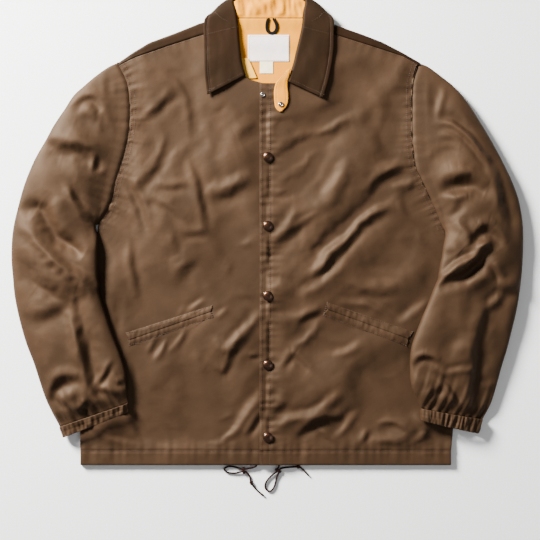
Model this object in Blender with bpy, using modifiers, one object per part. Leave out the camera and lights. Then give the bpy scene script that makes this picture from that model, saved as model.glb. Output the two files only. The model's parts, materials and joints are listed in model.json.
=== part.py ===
"""Coach jacket lying flat on its back, built as the pieces a maker cuts and sews.

Lengths are in millimetres until the last step. X runs to the wearer's left, Y from the hem to the
collar and Z up from the floor. X is 0 at the front snaps and Y is 0 at the hem's fold.
"""

import math

import bmesh
import bpy
import numpy as np
from mathutils import Vector
from mathutils.bvhtree import BVHTree

# Cloth
WALL = 1.2  # shell and lining together
GAP = 0.5  # upright space between two panels that lie on each other
SEAM = 0.4  # space in the plane between two panels at a seam
HEM_ROLL = 1.5  # radius of the turned hem, which holds the drawcord
HEM_TURN = 19.0  # how far the hem is turned up
COLLAR_WALL = 2.0
CUFF_WALL = 1.5
PATCH_WALL = 1.0  # label, tabs and pocket welts

# Heights of the upper layer over the floor
EDGE_TOP = 3.2  # at the side seams
CROWN = 2.6  # more than that, inside the edges
HEM_TOP = 6.8  # where both hems lie on each other
NECK_RISE = 2.4  # more over the neck lining
BACK_LIFT = 3.0  # of the back over the collar's fall

# Placket
OVER_EDGE = -12.0
UNDER_EDGE = 14.0
SNAP_YS = (462.0, 358.5, 253.5, 150.0, 42.0)
SNAP_RADIUS = 7.6
SNAP_RISE = 3.0

# Sleeves
SLEEVE_RING = 22
SLEEVE_ROWS = 24
GATHERS = 24
CUFF_SWELL = 1.0

CORD_RADIUS = 1.3

# Edge of the body from the hem up: y, left x, right x. It follows the side seam, then the armhole.
BODY_EDGE = (
    (0, -280, 273),
    (21, -281, 274),
    (57, -282, 278),
    (112, -276, 277),
    (172, -270, 274),
    (232, -265, 272),
    (292, -261, 268),
    (330, -258, 267),
    (348, -256.5, 266),
    (355, -255, 263),
    (364, -254, 260),
    (380, -243, 254),
    (396, -236, 247),
    (420, -230, 234),
    (444, -223, 222),
    (462, -217, 219),
    (482, -212, 217),
    (507, -208, 216),
    (532, -207, 216),
    (555, -208, 216),
    (573, -211, 217),
    (585, -216, 220),
    (598, -223, 224),
    (604, -226, 230),
)

# Fold of the back at the shoulders and its neck seam, from left to right: x, y
BACK_TOP = (
    (-223.5, 603.5),
    (-202, 618.5),
    (-178, 633),
    (-140, 647),
    (-102, 662),
    (-80, 666),
    (-50, 669.6),
    (-47, 670),
    (3, 670),
    (53, 670),
    (56, 669.6),
    (81, 666),
    (108, 657),
    (140, 646),
    (171, 634),
    (201, 618.5),
    (227, 603.5),
)
NECK_POINTS = (-48.5, 54.5)

# Front shoulder seam, from left to right: x, y
SHOULDER_SEAM = (
    (-226, 599),
    (-200, 612),
    (-152, 629),
    (-102, 645),
    (-46, 658.5),
    (52, 658.5),
    (105, 645),
    (153, 630),
    (202, 614),
    (230, 599),
)

# Upper edge of each front from left to right, shoulder seam and neckline: x, y
UNDER_UPPER = (
    (-224, 599),
    (-200, 611),
    (-152, 628),
    (-102, 644),
    (-49, 657),
    (-46.5, 640),
    (-44.5, 620),
    (-42.5, 604),
    (-37.5, 585),
    (-27, 577.5),
    (-9, 572.5),
    (14, 571.5),
)
OVER_UPPER = (
    (-12, 572),
    (9, 572),
    (25, 572.3),
    (34, 575.5),
    (41.5, 601),
    (45.5, 620),
    (50, 640),
    (55, 657),
    (105, 644),
    (153, 629),
    (202, 613),
    (228, 599),
)

# Largest folds of the body: x, y at each end, height and half width
BODY_FOLDS = (
    (-202, 416, -153, 322, 1.8, 16),
    (-108, 500, -88, 350, -1.2, 14),
    (-95, 410, -45, 438, 1.2, 16),
    (-180, 172, -85, 70, 1.4, 18),
    (-190, 270, -110, 200, 1.0, 16),
    (186, 396, 72, 290, 1.9, 16),
    (120, 518, 45, 476, 1.2, 16),
    (95, 450, 40, 380, 1.2, 15),
    (70, 170, 190, 60, 1.3, 18),
    (120, 300, 210, 320, 1.2, 15),
)

# Sleeves from the armhole down: outer x, y, underarm x, y, share of the armhole's line, height
SLEEVE_LEFT = (
    (-226.4, 604, -254.4, 364, 1.0, 6.6),
    (-240, 597, -258.5, 358, 0.78, 11),
    (-258, 584, -260, 353, 0.58, 15),
    (-274, 570, -261, 348, 0.4, 19),
    (-291, 554, -261.5, 343, 0.26, 22),
    (-304, 534, -261.5, 337, 0.15, 24),
    (-320, 510, -261.5, 331, 0.07, 25),
    (-332, 488, -261.5, 324, 0.02, 25.5),
    (-349, 458, -261.5, 316, 0.0, 26),
    (-364, 422, -261.5, 307, 0.0, 26),
    (-374, 387, -261.5, 297, 0.0, 26),
    (-382, 350, -261, 287, 0.0, 26),
    (-384, 312, -260, 279, 0.0, 26),
    (-382, 282, -257, 270, 0.0, 25),
    (-379, 252, -253, 260, 0.0, 25),
    (-372, 218, -248, 244, 0.0, 24),
    (-362, 183, -240, 220, 0.0, 24),
    (-351, 154, -231, 194, 0.0, 23),
    (-342, 126, -220, 165, 0.0, 22),
    (-334, 102, -213, 141, 0.0, 21),
    (-324, 80, -211, 118, 0.0, 20),
    (-312.5, 58, -209, 94, 0.0, 18),
)
SLEEVE_RIGHT = (
    (230.4, 604, 263.4, 355, 1.0, 6.6),
    (243, 596, 265.6, 350.5, 0.78, 11),
    (261, 582, 266, 344, 0.58, 15),
    (280, 566, 265, 339, 0.4, 19),
    (300, 542, 263.5, 333, 0.26, 22),
    (319, 512, 262, 327, 0.15, 24),
    (335, 485, 261, 320, 0.07, 25),
    (350, 457, 260, 312, 0.02, 25.5),
    (364, 428, 258, 304, 0.0, 26),
    (375, 398, 256.5, 296, 0.0, 26),
    (381, 364, 255, 287, 0.0, 26),
    (382, 334, 254, 279, 0.0, 26),
    (381, 303, 250, 270, 0.0, 25),
    (378, 270, 245, 258, 0.0, 25),
    (373, 236, 239, 242, 0.0, 24),
    (365, 202, 230, 221, 0.0, 24),
    (358, 174, 221, 198, 0.0, 23),
    (350, 148, 214, 176, 0.0, 22),
    (343, 122, 212, 151, 0.0, 21),
    (334, 93, 215, 117, 0.0, 20),
    (322, 69, 229, 86, 0.0, 18),
)

# Largest folds of the sleeves, as for the body
SLEEVE_FOLDS = (
    (-370, 385, -300, 330, -7, 16),
    (-300, 330, -263, 270, -6, 13),
    (-374, 362, -330, 322, 3, 13),
    (-330, 322, -252, 246, 5, 13),
    (-366, 262, -300, 268, -4, 20),
    (-278, 550, -240, 505, -5, 14),
    (-318, 488, -258, 478, -4, 20),
    (-288, 418, -264, 372, -4, 13),
    (-330, 100, -300, 136, -4, 12),
    (-276, 142, -257, 100, -5, 12),
    (244, 572, 256, 526, -5, 14),
    (252, 518, 318, 470, -5, 13),
    (256, 426, 322, 423, -7, 17),
    (250, 388, 286, 406, -3, 14),
    (306, 354, 340, 318, -5, 15),
    (250, 273, 330, 333, 5, 13),
    (258, 256, 336, 314, -4, 14),
    (332, 462, 350, 396, 4, 16),
    (314, 210, 316, 90, 3, 20),
    (218, 152, 256, 162, -5, 11),
)

# Cuffs: outer x, y and inner x, y of the seam to the sleeve, then of the open edge
CUFF_LEFT = ((-312.5, 57.3, -209, 93.3), (-308, 42, -208, 81))
CUFF_RIGHT = ((322, 68.3, 229, 85.3), (316, 48, 229, 68))

# Collar leaf from its left front end round the back to its right front end: x, y, z of the roll,
# of the leaf's middle and of its outer edge. At the back it lies below the stand.
COLLAR = (
    (-37, 583.5, 9.7, -62, 570, 10.4, -90.5, 555.5, 11.6),
    (-42.5, 604, 9.8, -68, 596, 10.3, -94, 586, 10.6),
    (-44.5, 619, 9.8, -70, 618, 10.2, -95, 618, 10.0),
    (-46.5, 638, 9.8, -71, 640, 10.1, -95.5, 643, 9.9),
    (-48, 659, 9.7, -72, 660, 10.0, -95.5, 662, 9.9),
    (-51, 680, 8.6, -72, 677, 9.4, -92, 671, 8.8),
    (-54, 693, 6.0, -73, 688, 5.8, -83, 675, 4.8),
    (-51, 703, 3.6, -62, 694, 2.0, -69, 664, 1.1),
    (-42, 709, 2.8, -47, 690, 1.1, -49, 657, 1.1),
    (-22, 712.5, 2.6, -25, 690, 1.1, -25, 656, 1.1),
    (2.5, 713.5, 2.6, 2.5, 690, 1.1, 2.5, 656, 1.1),
    (27, 712.5, 2.6, 30, 690, 1.1, 30, 656, 1.1),
    (47, 709, 2.8, 52, 690, 1.1, 54, 657, 1.1),
    (56, 703, 3.6, 67, 694, 2.0, 74, 664, 1.1),
    (59, 693, 6.0, 78, 688, 5.8, 88, 675, 4.8),
    (56.5, 680, 8.6, 77, 677, 9.4, 96, 671, 8.8),
    (54.5, 659, 9.7, 75, 660, 10.0, 98, 662, 9.9),
    (50, 638, 9.8, 73, 640, 10.1, 98, 643, 9.9),
    (45, 617, 9.8, 71, 617, 10.2, 97, 617, 10.0),
    (41, 600, 9.8, 64, 593, 10.3, 91, 582, 10.6),
    (32.5, 574, 11.1, 56, 563, 10.9, 82, 551, 11.6),
)
COLLAR_ROWS = 41

# Drawcords, each from inside the hem to its tip: x, y, z, radius. The swelling is a knot.
CORD_LEFT = (
    (-17, -0.7, 4.4, 1),
    (-19, -2.6, 4.0, 1),
    (-24, -4.6, 3.2, 1),
    (-33, -6.3, 2.9, 1),
    (-38, -6.8, 2.9, 1),
    (-50, -3.5, 1.6, 1),
    (-60, -3, 1.5, 1),
    (-65.5, -6.5, 1.5, 1),
    (-62, -11.5, 1.5, 1),
    (-50, -13, 1.7, 1),
    (-40, -10.6, 2.9, 1),
    (-34, -10.2, 2.9, 1),
    (-28, -17, 1.8, 1),
    (-26.4, -24, 1.6, 1),
    (-25.6, -26, 2.6, 1.9),
    (-24.6, -28.4, 2.7, 2.0),
    (-23.4, -30.6, 1.6, 1),
    (-16, -39, 1.5, 1),
    (-6.5, -47, 1.5, 1),
)
CORD_RIGHT = (
    (17, -0.7, 4.4, 1),
    (16.4, -2.4, 3.9, 1),
    (15, -5, 3.1, 1),
    (13, -10, 2.9, 1),
    (4, -18, 1.7, 1),
    (-2.5, -26, 1.5, 1),
    (-4.4, -33, 1.5, 1),
    (-1, -39, 1.5, 1),
    (4.5, -39.5, 1.5, 1),
    (9.5, -33, 1.5, 1),
    (12.5, -22, 1.5, 1),
    (16.4, -11, 2.9, 1),
    (18.2, -6.6, 2.9, 1),
    (26, -4.5, 1.6, 1),
    (42, -3.2, 1.6, 1),
    (44.4, -3.2, 2.6, 1.9),
    (47, -3.6, 2.7, 2.0),
    (49.4, -4.6, 1.6, 1),
    (56, -11, 1.5, 1),
    (61, -16.5, 1.5, 1),
)
# Wraps that tie each bow: x, y, z, half length, inner half width and height, turn in degrees
CORD_WRAPS = (
    ("left", -36.2, -8.5, 2.9, 2.0, 3.7, 1.6, 0),
    ("right", 15.2, -8.6, 2.9, 2.0, 3.4, 1.6, 60),
)

COLOURS = {
    "nylon": (0.105, 0.055, 0.031, 1),
    "lining": (0.70, 0.42, 0.14, 1),
    "label": (0.86, 0.80, 0.74, 1),
    "black": (0.02, 0.012, 0.01, 1),
    "metal": (0.16, 0.10, 0.08, 1),
}


def ease(a, b, v):
    """0 at a, 1 at b and smooth between, with a on either side of b."""
    t = min(max((v - a) / (b - a), 0.0), 1.0)
    return t * t * (3 - 2 * t)


def bend(points, count):
    """Smooth rows through the given ones, evenly spaced by their number."""
    p = np.array(points, dtype=float)
    n = len(p) - 1
    ends = np.vstack([2 * p[0] - p[1], p, 2 * p[-1] - p[-2]])
    out = []
    for t in np.linspace(0, n, count):
        i = min(int(t), n - 1)
        f = t - i
        a, b, c, d = ends[i : i + 4]
        out.append(
            0.5
            * (
                2 * b
                + (c - a) * f
                + (2 * a - 5 * b + 4 * c - d) * f**2
                + (3 * b - a - 3 * c + d) * f**3
            )
        )
    return np.array(out)


def spread(points, count):
    """Points evenly spaced along a line."""
    p = np.array(points, dtype=float)
    steps = np.linalg.norm(np.diff(p, axis=0), axis=1)
    along = np.concatenate([[0], np.cumsum(steps)])
    at = np.linspace(0, along[-1], count)
    return np.stack([np.interp(at, along, p[:, k]) for k in range(p.shape[1])], axis=1)


EDGE = np.array(BODY_EDGE, dtype=float)
TOP = np.array(BACK_TOP, dtype=float)
SEAM_LINE = np.array(SHOULDER_SEAM, dtype=float)


def edges(y):
    return np.interp(y, EDGE[:, 0], EDGE[:, 1]), np.interp(y, EDGE[:, 0], EDGE[:, 2])


def near_line(x, y, fold):
    """How far a point is from a fold's line, and how far along it."""
    x0, y0, x1, y1 = fold[:4]
    dx, dy = x1 - x0, y1 - y0
    t = ((x - x0) * dx + (y - y0) * dy) / (dx * dx + dy * dy)
    t = min(max(t, 0.0), 1.0)
    return math.hypot(x - x0 - t * dx, y - y0 - t * dy), t


def folds(x, y, table):
    total = 0.0
    for fold in table:
        d, t = near_line(x, y, fold)
        total += fold[4] * math.exp(-((d / fold[5]) ** 2)) * (0.55 + 0.45 * math.sin(math.pi * t))
    return total


def neck(x, y):
    return ease(118, 74, abs(x - 1)) * ease(512, 552, y)


def back_lift(x, y):
    """Height of the back's lower side, which lies on the collar's fall at the neck."""
    return BACK_LIFT * ease(128, 98, abs(x - 2)) * ease(606, 640, y)


def hem_share(y):
    return ease(52, 22, y)


def top(x, y):
    """Height of the upper side of the lower front, and of both fronts beside the placket."""
    left, right = edges(y)
    inside = min(x - left, right - x)
    edge = EDGE_TOP + 2.6 * ease(380, 430, y)
    height = edge + (EDGE_TOP + CROWN - edge) * ease(0, 50, inside)
    height += NECK_RISE * neck(x, y)
    calm = ease(26, 52, abs(x)) * ease(45, 90, inside) * ease(40, 80, y) * ease(600, 560, y)
    calm *= 1 - neck(x, y)
    height += calm * folds(x, y, BODY_FOLDS)
    height += (HEM_TOP - height) * hem_share(y)
    return height


def over_top(x, y):
    """The same for the upper front, which steps up over the placket."""
    step = WALL + GAP + (2 * HEM_ROLL - WALL) * hem_share(y)
    return top(x, y) + step * ease(50, UNDER_EDGE + 2, x)


def under_sleeve(x, y):
    """Height a sleeve's lower side needs: the floor, or the body where the sleeve lies on it."""
    left, right = edges(y)
    inside = min(x - left, right - x)
    below = ease(352, 322, y)
    return (top(x, y) + 1.3) * ease(-34, -10, inside) * below


def material(name, colour):
    m = bpy.data.materials.new(name)
    m.use_nodes = True
    shader = m.node_tree.nodes["Principled BSDF"]
    shader.inputs["Base Color"].default_value = COLOURS[colour]
    shader.inputs["Roughness"].default_value = 0.3 if colour == "metal" else 0.55
    shader.inputs["Metallic"].default_value = 0.9 if colour == "metal" else 0.0
    return m


def place(name, mesh, colour):
    obj = bpy.data.objects.new(name, mesh)
    JACKET.objects.link(obj)
    mesh.materials.append(material(name + "_finish", colour))
    return obj


def outward(points, faces, rows):
    """Whether a tube's faces look away from its middle."""
    middle = [np.mean(np.array(row, dtype=float), axis=0) for row in rows]
    total = 0.0
    across = len(rows[0])
    for face in faces:
        a, b, c = (np.array(points[k]) for k in face[:3])
        centre = (middle[face[0] // across] + middle[face[2] // across]) / 2
        total += float(np.dot(np.cross(b - a, c - a), a - centre))
    return total > 0


def surface(name, rows, colour, closed=False, flip=False):
    """A mesh from rows of points, with None where a row has no point."""
    index = {}
    points = []
    for r, row in enumerate(rows):
        for c, point in enumerate(row):
            if point is not None:
                index[r, c] = len(points)
                points.append(tuple(point))
    faces = []
    across = len(rows[0])
    for r in range(len(rows) - 1):
        for c in range(across if closed else across - 1):
            d = (c + 1) % across
            keys = [(r, c), (r, d), (r + 1, d), (r + 1, c)]
            if all(k in index for k in keys):
                face = [index[k] for k in keys]
                faces.append(face[::-1] if flip else face)
    if closed and not outward(points, faces, rows):
        faces = [face[::-1] for face in faces]
    mesh = bpy.data.meshes.new(name)
    mesh.from_pydata(points, [], faces)
    mesh.validate()
    return place(name, mesh, colour)


def thicken(obj, wall, offset=-1.0):
    mod = obj.modifiers.new("Cloth", "SOLIDIFY")
    mod.thickness = wall
    mod.offset = offset
    return obj


def seen(obj):
    """The object's finished mesh as a tree for casting rays."""
    bpy.context.view_layer.update()
    return BVHTree.FromObject(obj, bpy.context.evaluated_depsgraph_get())


def rest(trees, x, y, reach, floor=0.0):
    """Highest point of the given objects within reach of a place in the plane."""
    best = floor
    for k in range(9):
        a = k * math.pi / 4
        r = 0.0 if k == 8 else reach
        start = Vector((x + r * math.cos(a), y + r * math.sin(a), 200.0))
        for tree in trees:
            hit = tree.ray_cast(start, Vector((0, 0, -1)))[0]
            if hit is not None:
                best = max(best, hit.z)
    return best


def hem_rows(line, height, up):
    """The turned hem below a row: its fold, then the part turned up inside."""
    rows = []
    for angle in (60, 120, 180):
        a = math.radians(angle)
        row = []
        for x in line:
            z = height(x, HEM_ROLL)
            dz = HEM_ROLL * (1 - math.cos(a))
            row.append((x, HEM_ROLL - HEM_ROLL * math.sin(a), z + dz if up else z - dz))
        rows.append(row)
    for y in (8.0, HEM_TURN):
        dz = 2 * HEM_ROLL
        rows.append([(x, y, height(x, y) + (dz if up else -dz)) for x in line])
    return rows


def build_back():
    """One cut: flat on the floor, its hem turned up and its shoulders rolled over to the front."""
    columns = 25
    tops = np.vstack([spread(TOP[:7], 9), spread(TOP[7:10], 7), spread(TOP[10:], 9)])
    levels = [21, 57, 115, 175, 235, 295, 345, 364, 380, 396, 420, 444, 462, 482, 507, 532, 555]
    fall = [0.0] * len(levels) + [0.2, 0.45, 0.72, 1.0]
    levels += [570, 583, 595, 604]
    roll = []
    for x, y in tops:
        shoulder = x < NECK_POINTS[0] or x > NECK_POINTS[1]
        roll.append((top(x, y - 6) - back_lift(x, y - 6)) / 2 if shoulder else 0.0)
    body = []
    for y, share in zip(levels, fall, strict=True):
        row = []
        for k, (tx, ty) in enumerate(tops):
            py = y + share * (ty - 604) - (roll[k] * share if roll[k] else 0.0)
            a, b = edges(min(py, y))
            hold = 2 * SEAM * ease(345, 362, y)
            a, b = a + hold, b - hold
            u = k / (columns - 1)
            at_top = (tx - tops[0][0]) / (tops[-1][0] - tops[0][0])
            x = a + (b - a) * (u + (at_top - u) * ease(450, 604, y))
            row.append((x, py, back_lift(x, py)))
        body.append(row)
    line = [p[0] for p in body[0]]
    start = [[(x, HEM_ROLL, 0.0) for x in line], [(x, 10.0, 0.0) for x in line]]
    turned = hem_rows(line, lambda x, y: 0.0, True)[::-1]
    strips = []
    for angle in (50, 95, 140, 180):
        a = math.radians(angle)
        row = []
        for k, (tx, ty) in enumerate(tops):
            r = roll[k]
            low = back_lift(tx, ty - r)
            point = (tx, ty - r + r * math.sin(a), low + r * (1 - math.cos(a)))
            row.append(point if r else None)
        strips.append(row)
    for share in (0.5, 1.0):
        row = []
        for k, (tx, ty) in enumerate(tops):
            if not roll[k]:
                row.append(None)
                continue
            seam = np.interp(tx, SEAM_LINE[:, 0], SEAM_LINE[:, 1]) + SEAM
            y = ty - roll[k]
            y = y + (min(seam, y - 1.0) - y) * share
            row.append((tx, y, top(tx, y)))
        strips.append(row)
    rows = turned + start + body + strips
    return thicken(surface("back", rows, "nylon", flip=True), WALL)


def build_front(name, upper, height, side):
    """A front, blended between its hem, its free edge, its side and its upper edge."""
    columns, count = 15, 27
    above = spread(upper, columns)
    seam = []
    for y in np.linspace(21, above[0 if side < 0 else -1][1], 80):
        hold = SEAM * ease(345, 362, y)
        seam.append((edges(y)[0 if side < 0 else 1] - side * hold, y))
    seam = spread(seam, count)
    edge_x = above[-1 if side < 0 else 0][0]
    free = np.stack([np.full(count, edge_x), np.linspace(21, above[-1 if side < 0 else 0][1], count)], 1)
    left, right = (seam, free) if side < 0 else (free, seam)
    above[0], above[-1] = left[-1], right[-1]
    rows = []
    for j, v in enumerate(np.linspace(0, 1, count)):
        row = []
        for k, u in enumerate(np.linspace(0, 1, columns)):
            p = (left[0] * (1 - u) + right[0] * u) * (1 - v) + above[k] * v
            p = p + (left[j] - left[0] * (1 - v) - left[-1] * v) * (1 - u) ** 2
            p = p + (right[j] - right[0] * (1 - v) - right[-1] * v) * u**2
            row.append((p[0], p[1], height(p[0], p[1])))
        rows.append(row)
    line = [p[0] for p in rows[0]]
    start = [[(x, HEM_ROLL, height(x, HEM_ROLL)) for x in line]]
    start.append([(x, 10.0, height(x, 10.0)) for x in line])
    turned = hem_rows(line, height, False)[::-1]
    return thicken(surface(name, turned + start + rows, "nylon"), WALL)


def across(outer, inner, share, hole, side):
    """Line over a sleeve from its outer edge to the underarm: the armhole's, then ever straighter."""
    chord = outer - inner
    length = np.linalg.norm(chord)
    steep = ease(0.5, 0.85, chord[1] / length)
    away = np.array([side, 0.25]) * steep + chord / length * (1 - steep)
    away = away / np.linalg.norm(away)
    near = outer - chord * 0.33
    far = inner + away * length * 0.3
    line = []
    for t in np.linspace(0, 1, 41):
        line.append(
            outer * (1 - t) ** 3
            + near * 3 * t * (1 - t) ** 2
            + far * 3 * t * t * (1 - t)
            + inner * t**3
        )
    line = spread(line, 41)
    t = np.linspace(0, 1, 41)[:, None]
    cap = hole + (outer - hole[0]) * (1 - t) + (inner - hole[-1]) * t
    return spread(line * (1 - share) + cap * share, 41)


def section(line, tall, count, even=False):
    """Points round a sleeve, from its outer edge over the top to the underarm and back below."""
    steps = 240 if even else count
    along = np.linspace(0, 1, len(line))
    ring = []
    for k in range(steps):
        a = 2 * math.pi * k / steps
        s = 0.5 * (1 - math.cos(a))
        wave = abs(math.sin(a))
        x = float(np.interp(s, along, line[:, 0]))
        y = float(np.interp(s, along, line[:, 1]))
        low = under_sleeve(x, y)
        if a <= math.pi:
            z = low * (0.55 + 0.45 * (1 - wave)) + tall * (0.3 + 0.7 * wave**0.6)
            z += folds(x, y, SLEEVE_FOLDS) * wave * ease(9, 20, tall)
        else:
            z = low + 0.3 * tall * (1 - wave**0.5)
        ring.append((x, y, z))
    if even:
        ring = spread(ring + [ring[0]], count + 1)[:-1]
    return ring


def build_sleeve(name, table, side):
    """A one-piece sleeve: a tube from the armhole to the cuff, its underside on the floor."""
    last = 604 if side < 0 else 604
    first = 364 if side < 0 else 355
    hole = []
    for y in np.linspace(last, first, 41):
        hole.append((edges(y)[0 if side < 0 else 1] + side * SEAM, y))
    hole = spread(hole, 41)
    rows = []
    for row in bend(table, SLEEVE_ROWS):
        share = float(min(max(row[4], 0.0), 1.0))
        line = across(row[0:2], row[2:4], share, hole, side)
        rows.append(section(line, float(row[5]), SLEEVE_RING))
    return thicken(surface(name, rows, "nylon", closed=True), WALL)


def build_cuff(name, lines, side):
    """An elastic band, gathered all round."""
    count = GATHERS * 4
    rows = []
    for share, swell, tall in ((0.0, 0.35, 15.5), (0.45, 1.0, 15.5), (1.0, 0.8, 14.0)):
        a, b = np.array(lines[0], dtype=float), np.array(lines[1], dtype=float)
        ends = a + (b - a) * share
        ring = section(np.array([ends[:2], ends[2:]]), tall, count, even=True)
        row = []
        for k, p in enumerate(ring):
            before, after = ring[k - 1], ring[(k + 1) % count]
            flat = np.array([after[0] - before[0], after[2] - before[2]])
            out = np.array([flat[1], -flat[0]]) * -side / max(np.linalg.norm(flat), 1e-6)
            lift = CUFF_SWELL * swell * math.cos(2 * math.pi * k / 4 + 0.4 * math.sin(k))
            row.append((p[0] + out[0] * lift, p[1], p[2] + 1.2 + out[1] * lift))
        rows.append(row)
    return thicken(surface(name, rows, "nylon", closed=True), CUFF_WALL)


def build_collar():
    rows = []
    for row in bend(COLLAR, COLLAR_ROWS):
        roll, middle, edge = (row[k : k + 3] for k in (0, 3, 6))
        rows.append(spread(bend([roll, middle, edge], 21), 7))
    return thicken(surface("collar", rows, "nylon"), COLLAR_WALL, 0.0)


def build_stand():
    """The collar's stand across the back, from the neck seam up to the roll."""
    rows = []
    for share in np.linspace(0, 1, 5):
        row = []
        for u in np.linspace(-1, 1, 15):
            y = 671 + share * (38.5 - 14 * abs(u) ** 2.5)
            row.append((2.5 + u * (45 + 2.5 * share), y, 4.5))
        rows.append(row)
    return thicken(surface("collar_stand", rows, "nylon"), COLLAR_WALL, 0.0)


def patch(name, corners, height, wall, colour, across=3, up=3):
    """A flat piece between four corners, from lower left round to upper left."""
    a, b, c, d = (np.array(p, dtype=float) for p in corners)
    rows = []
    for v in np.linspace(0, 1, up):
        row = []
        for u in np.linspace(0, 1, across):
            p = (a * (1 - u) + b * u) * (1 - v) + (d * (1 - u) + c * u) * v
            row.append((p[0], p[1], height(p[0], p[1])))
        rows.append(row)
    return thicken(surface(name, rows, colour), wall, 1.0)


def build_neck_lining(height):
    """The lining inside the back neck, as far as the opening shows it and a little beyond."""
    rows = []
    for y, a, b in (
        (550, -36, 36),
        (562, -46, 48),
        (580, -50, 52),
        (600, -52, 55),
        (622, -52, 57),
        (638, -51, 56),
        (648, -46, 52),
        (669.4, -42, 47),
    ):
        xs = np.linspace(a, b, 11)
        rows.append([(x, y, height(x, y)) for x in xs])
    return thicken(surface("neck_lining", rows, "lining"), PATCH_WALL, 1.0)


def build_stand_lining(height):
    """The lining on the inside of the collar's stand, across the back neck."""
    rows = []
    for share in (0.0, 0.35, 0.7, 1.0):
        row = []
        for u in np.linspace(-1, 1, 11):
            x = 2.5 + u * (43.5 + 2.5 * share)
            y = 671.6 + share * (36 - 14 * abs(u) ** 2.5)
            row.append((x, y, height(x, y)))
        rows.append(row)
    return thicken(surface("stand_lining", rows, "lining"), PATCH_WALL, 1.0)


def build_loop(height):
    """The hanging loop: a flat tape in a U from the neck seam."""
    line = bend(((0.5, 668.5), (-1, 660), (0, 651.5), (5.8, 648.5), (11.5, 652), (12, 660), (7, 668.5)), 15)
    rows = []
    for k, p in enumerate(line):
        step = line[min(k + 1, 14)] - line[max(k - 1, 0)]
        side = np.array([-step[1], step[0]]) / np.linalg.norm(step)
        rows.append([(*(p + side * w), height(*p)) for w in (-1.7, 1.7)])
    return thicken(surface("hang_loop", rows, "black", flip=True), PATCH_WALL, 1.0)


def build_chin_tab(height):
    """The throat tab, from under the right leaf to its rounded end over the placket."""
    rows = []
    for x, y, half in (
        (31, 592, 2.6),
        (28, 586, 4.4),
        (24.5, 580, 6.4),
        (21, 574, 8.2),
        (19.5, 564, 9.6),
        (19.8, 554, 10.2),
        (20, 544, 9.7),
        (19.6, 537, 8.0),
        (19.4, 532.4, 4.6),
        (19.4, 530.4, 1.8),
    ):
        row = []
        for u in np.linspace(-1, 1, 5):
            px = x + half * u
            py = y + 1.0 * u
            row.append((px, py, height(px, py)))
        rows.append(row)
    return thicken(surface("chin_tab", rows, "lining", flip=True), 1.6, 1.0)


def build_snap(name, x, y, z, radius, rise):
    """A domed cap, turned round its axis."""
    profile = ((0.0, 0.0), (0.93, 0.0), (1.0, 0.22), (0.9, 0.55), (0.55, 0.88), (0.0, 1.0))
    mesh = bpy.data.meshes.new(name)
    points = [(r * radius, 0.0, h * rise) for r, h in profile]
    mesh.from_pydata(points, [(k, k + 1) for k in range(len(points) - 1)], [])
    obj = place(name, mesh, "metal")
    mod = obj.modifiers.new("Turn", "SCREW")
    mod.steps = 16
    mod.render_steps = 16
    mod.use_merge_vertices = True
    mod.merge_threshold = 1e-4
    mod.use_normal_flip = True
    obj.location = (x, y, z)
    return obj


def build_cord(name, table):
    """A round cord through its points, swollen where it is knotted."""
    points = bend(table, (len(table) - 1) * 2 + 1)
    curve = bpy.data.curves.new(name, "CURVE")
    curve.dimensions = "3D"
    curve.bevel_depth = CORD_RADIUS
    curve.bevel_resolution = 2
    curve.use_fill_caps = True
    spline = curve.splines.new("POLY")
    spline.points.add(len(points) - 1)
    for p, (x, y, z, r) in zip(spline.points, points, strict=True):
        p.co = (x, y, z, 1.0)
        p.radius = r
    obj = bpy.data.objects.new(name, curve)
    JACKET.objects.link(obj)
    curve.materials.append(material(name + "_finish", "black"))
    return obj


def build_wrap(side, x, y, z, half, wide, tall, turn):
    """The turns of cord that tie a bow, as a band round both of its strands."""
    rows = []
    for k in range(6):
        a = 2 * math.pi * k / 6
        row = []
        for j in range(14):
            b = 2 * math.pi * j / 14
            u = wide + 0.9 + 0.8 * math.cos(a)
            h = tall + 0.75 + 0.55 * math.cos(a)
            point = Vector((half * math.sin(a), u * math.cos(b), h * math.sin(b)))
            c, s = math.cos(math.radians(turn)), math.sin(math.radians(turn))
            row.append((x + c * point.x - s * point.y, y + s * point.x + c * point.y, z + point.z))
        rows.append(row)
    rows.append(rows[0])
    name = f"cord_wrap_{side}"
    mesh = bpy.data.meshes.new(name)
    frame = bmesh.new()
    verts = [[frame.verts.new(p) for p in row] for row in rows[:-1]]
    for k in range(6):
        for j in range(14):
            a, b = verts[k], verts[(k + 1) % 6]
            frame.faces.new((a[j], b[j], b[(j + 1) % 14], a[(j + 1) % 14]))
    bmesh.ops.recalc_face_normals(frame, faces=frame.faces)
    frame.to_mesh(mesh)
    frame.free()
    return place(name, mesh, "black")


def to_metres(objects, cords):
    """Put the origin under the middle of the garment, and turn millimetres into metres."""
    bpy.context.view_layer.update()
    deps = bpy.context.evaluated_depsgraph_get()
    low, high = [1e9] * 3, [-1e9] * 3
    for obj in objects:
        if obj.name in cords:
            continue
        shape = obj.evaluated_get(deps).to_mesh()
        for v in shape.vertices:
            p = obj.matrix_world @ v.co
            low = [min(a, b) for a, b in zip(low, p, strict=True)]
            high = [max(a, b) for a, b in zip(high, p, strict=True)]
    middle = Vector(((low[0] + high[0]) / 2, (low[1] + high[1]) / 2, low[2]))
    for obj in objects:
        obj.location = (obj.location - middle) * 0.001
        obj.scale = (0.001, 0.001, 0.001)
    return middle


for old in list(bpy.data.objects):
    bpy.data.objects.remove(old, do_unlink=True)
JACKET = bpy.data.collections.new("coach_jacket")
bpy.context.scene.collection.children.link(JACKET)

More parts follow.
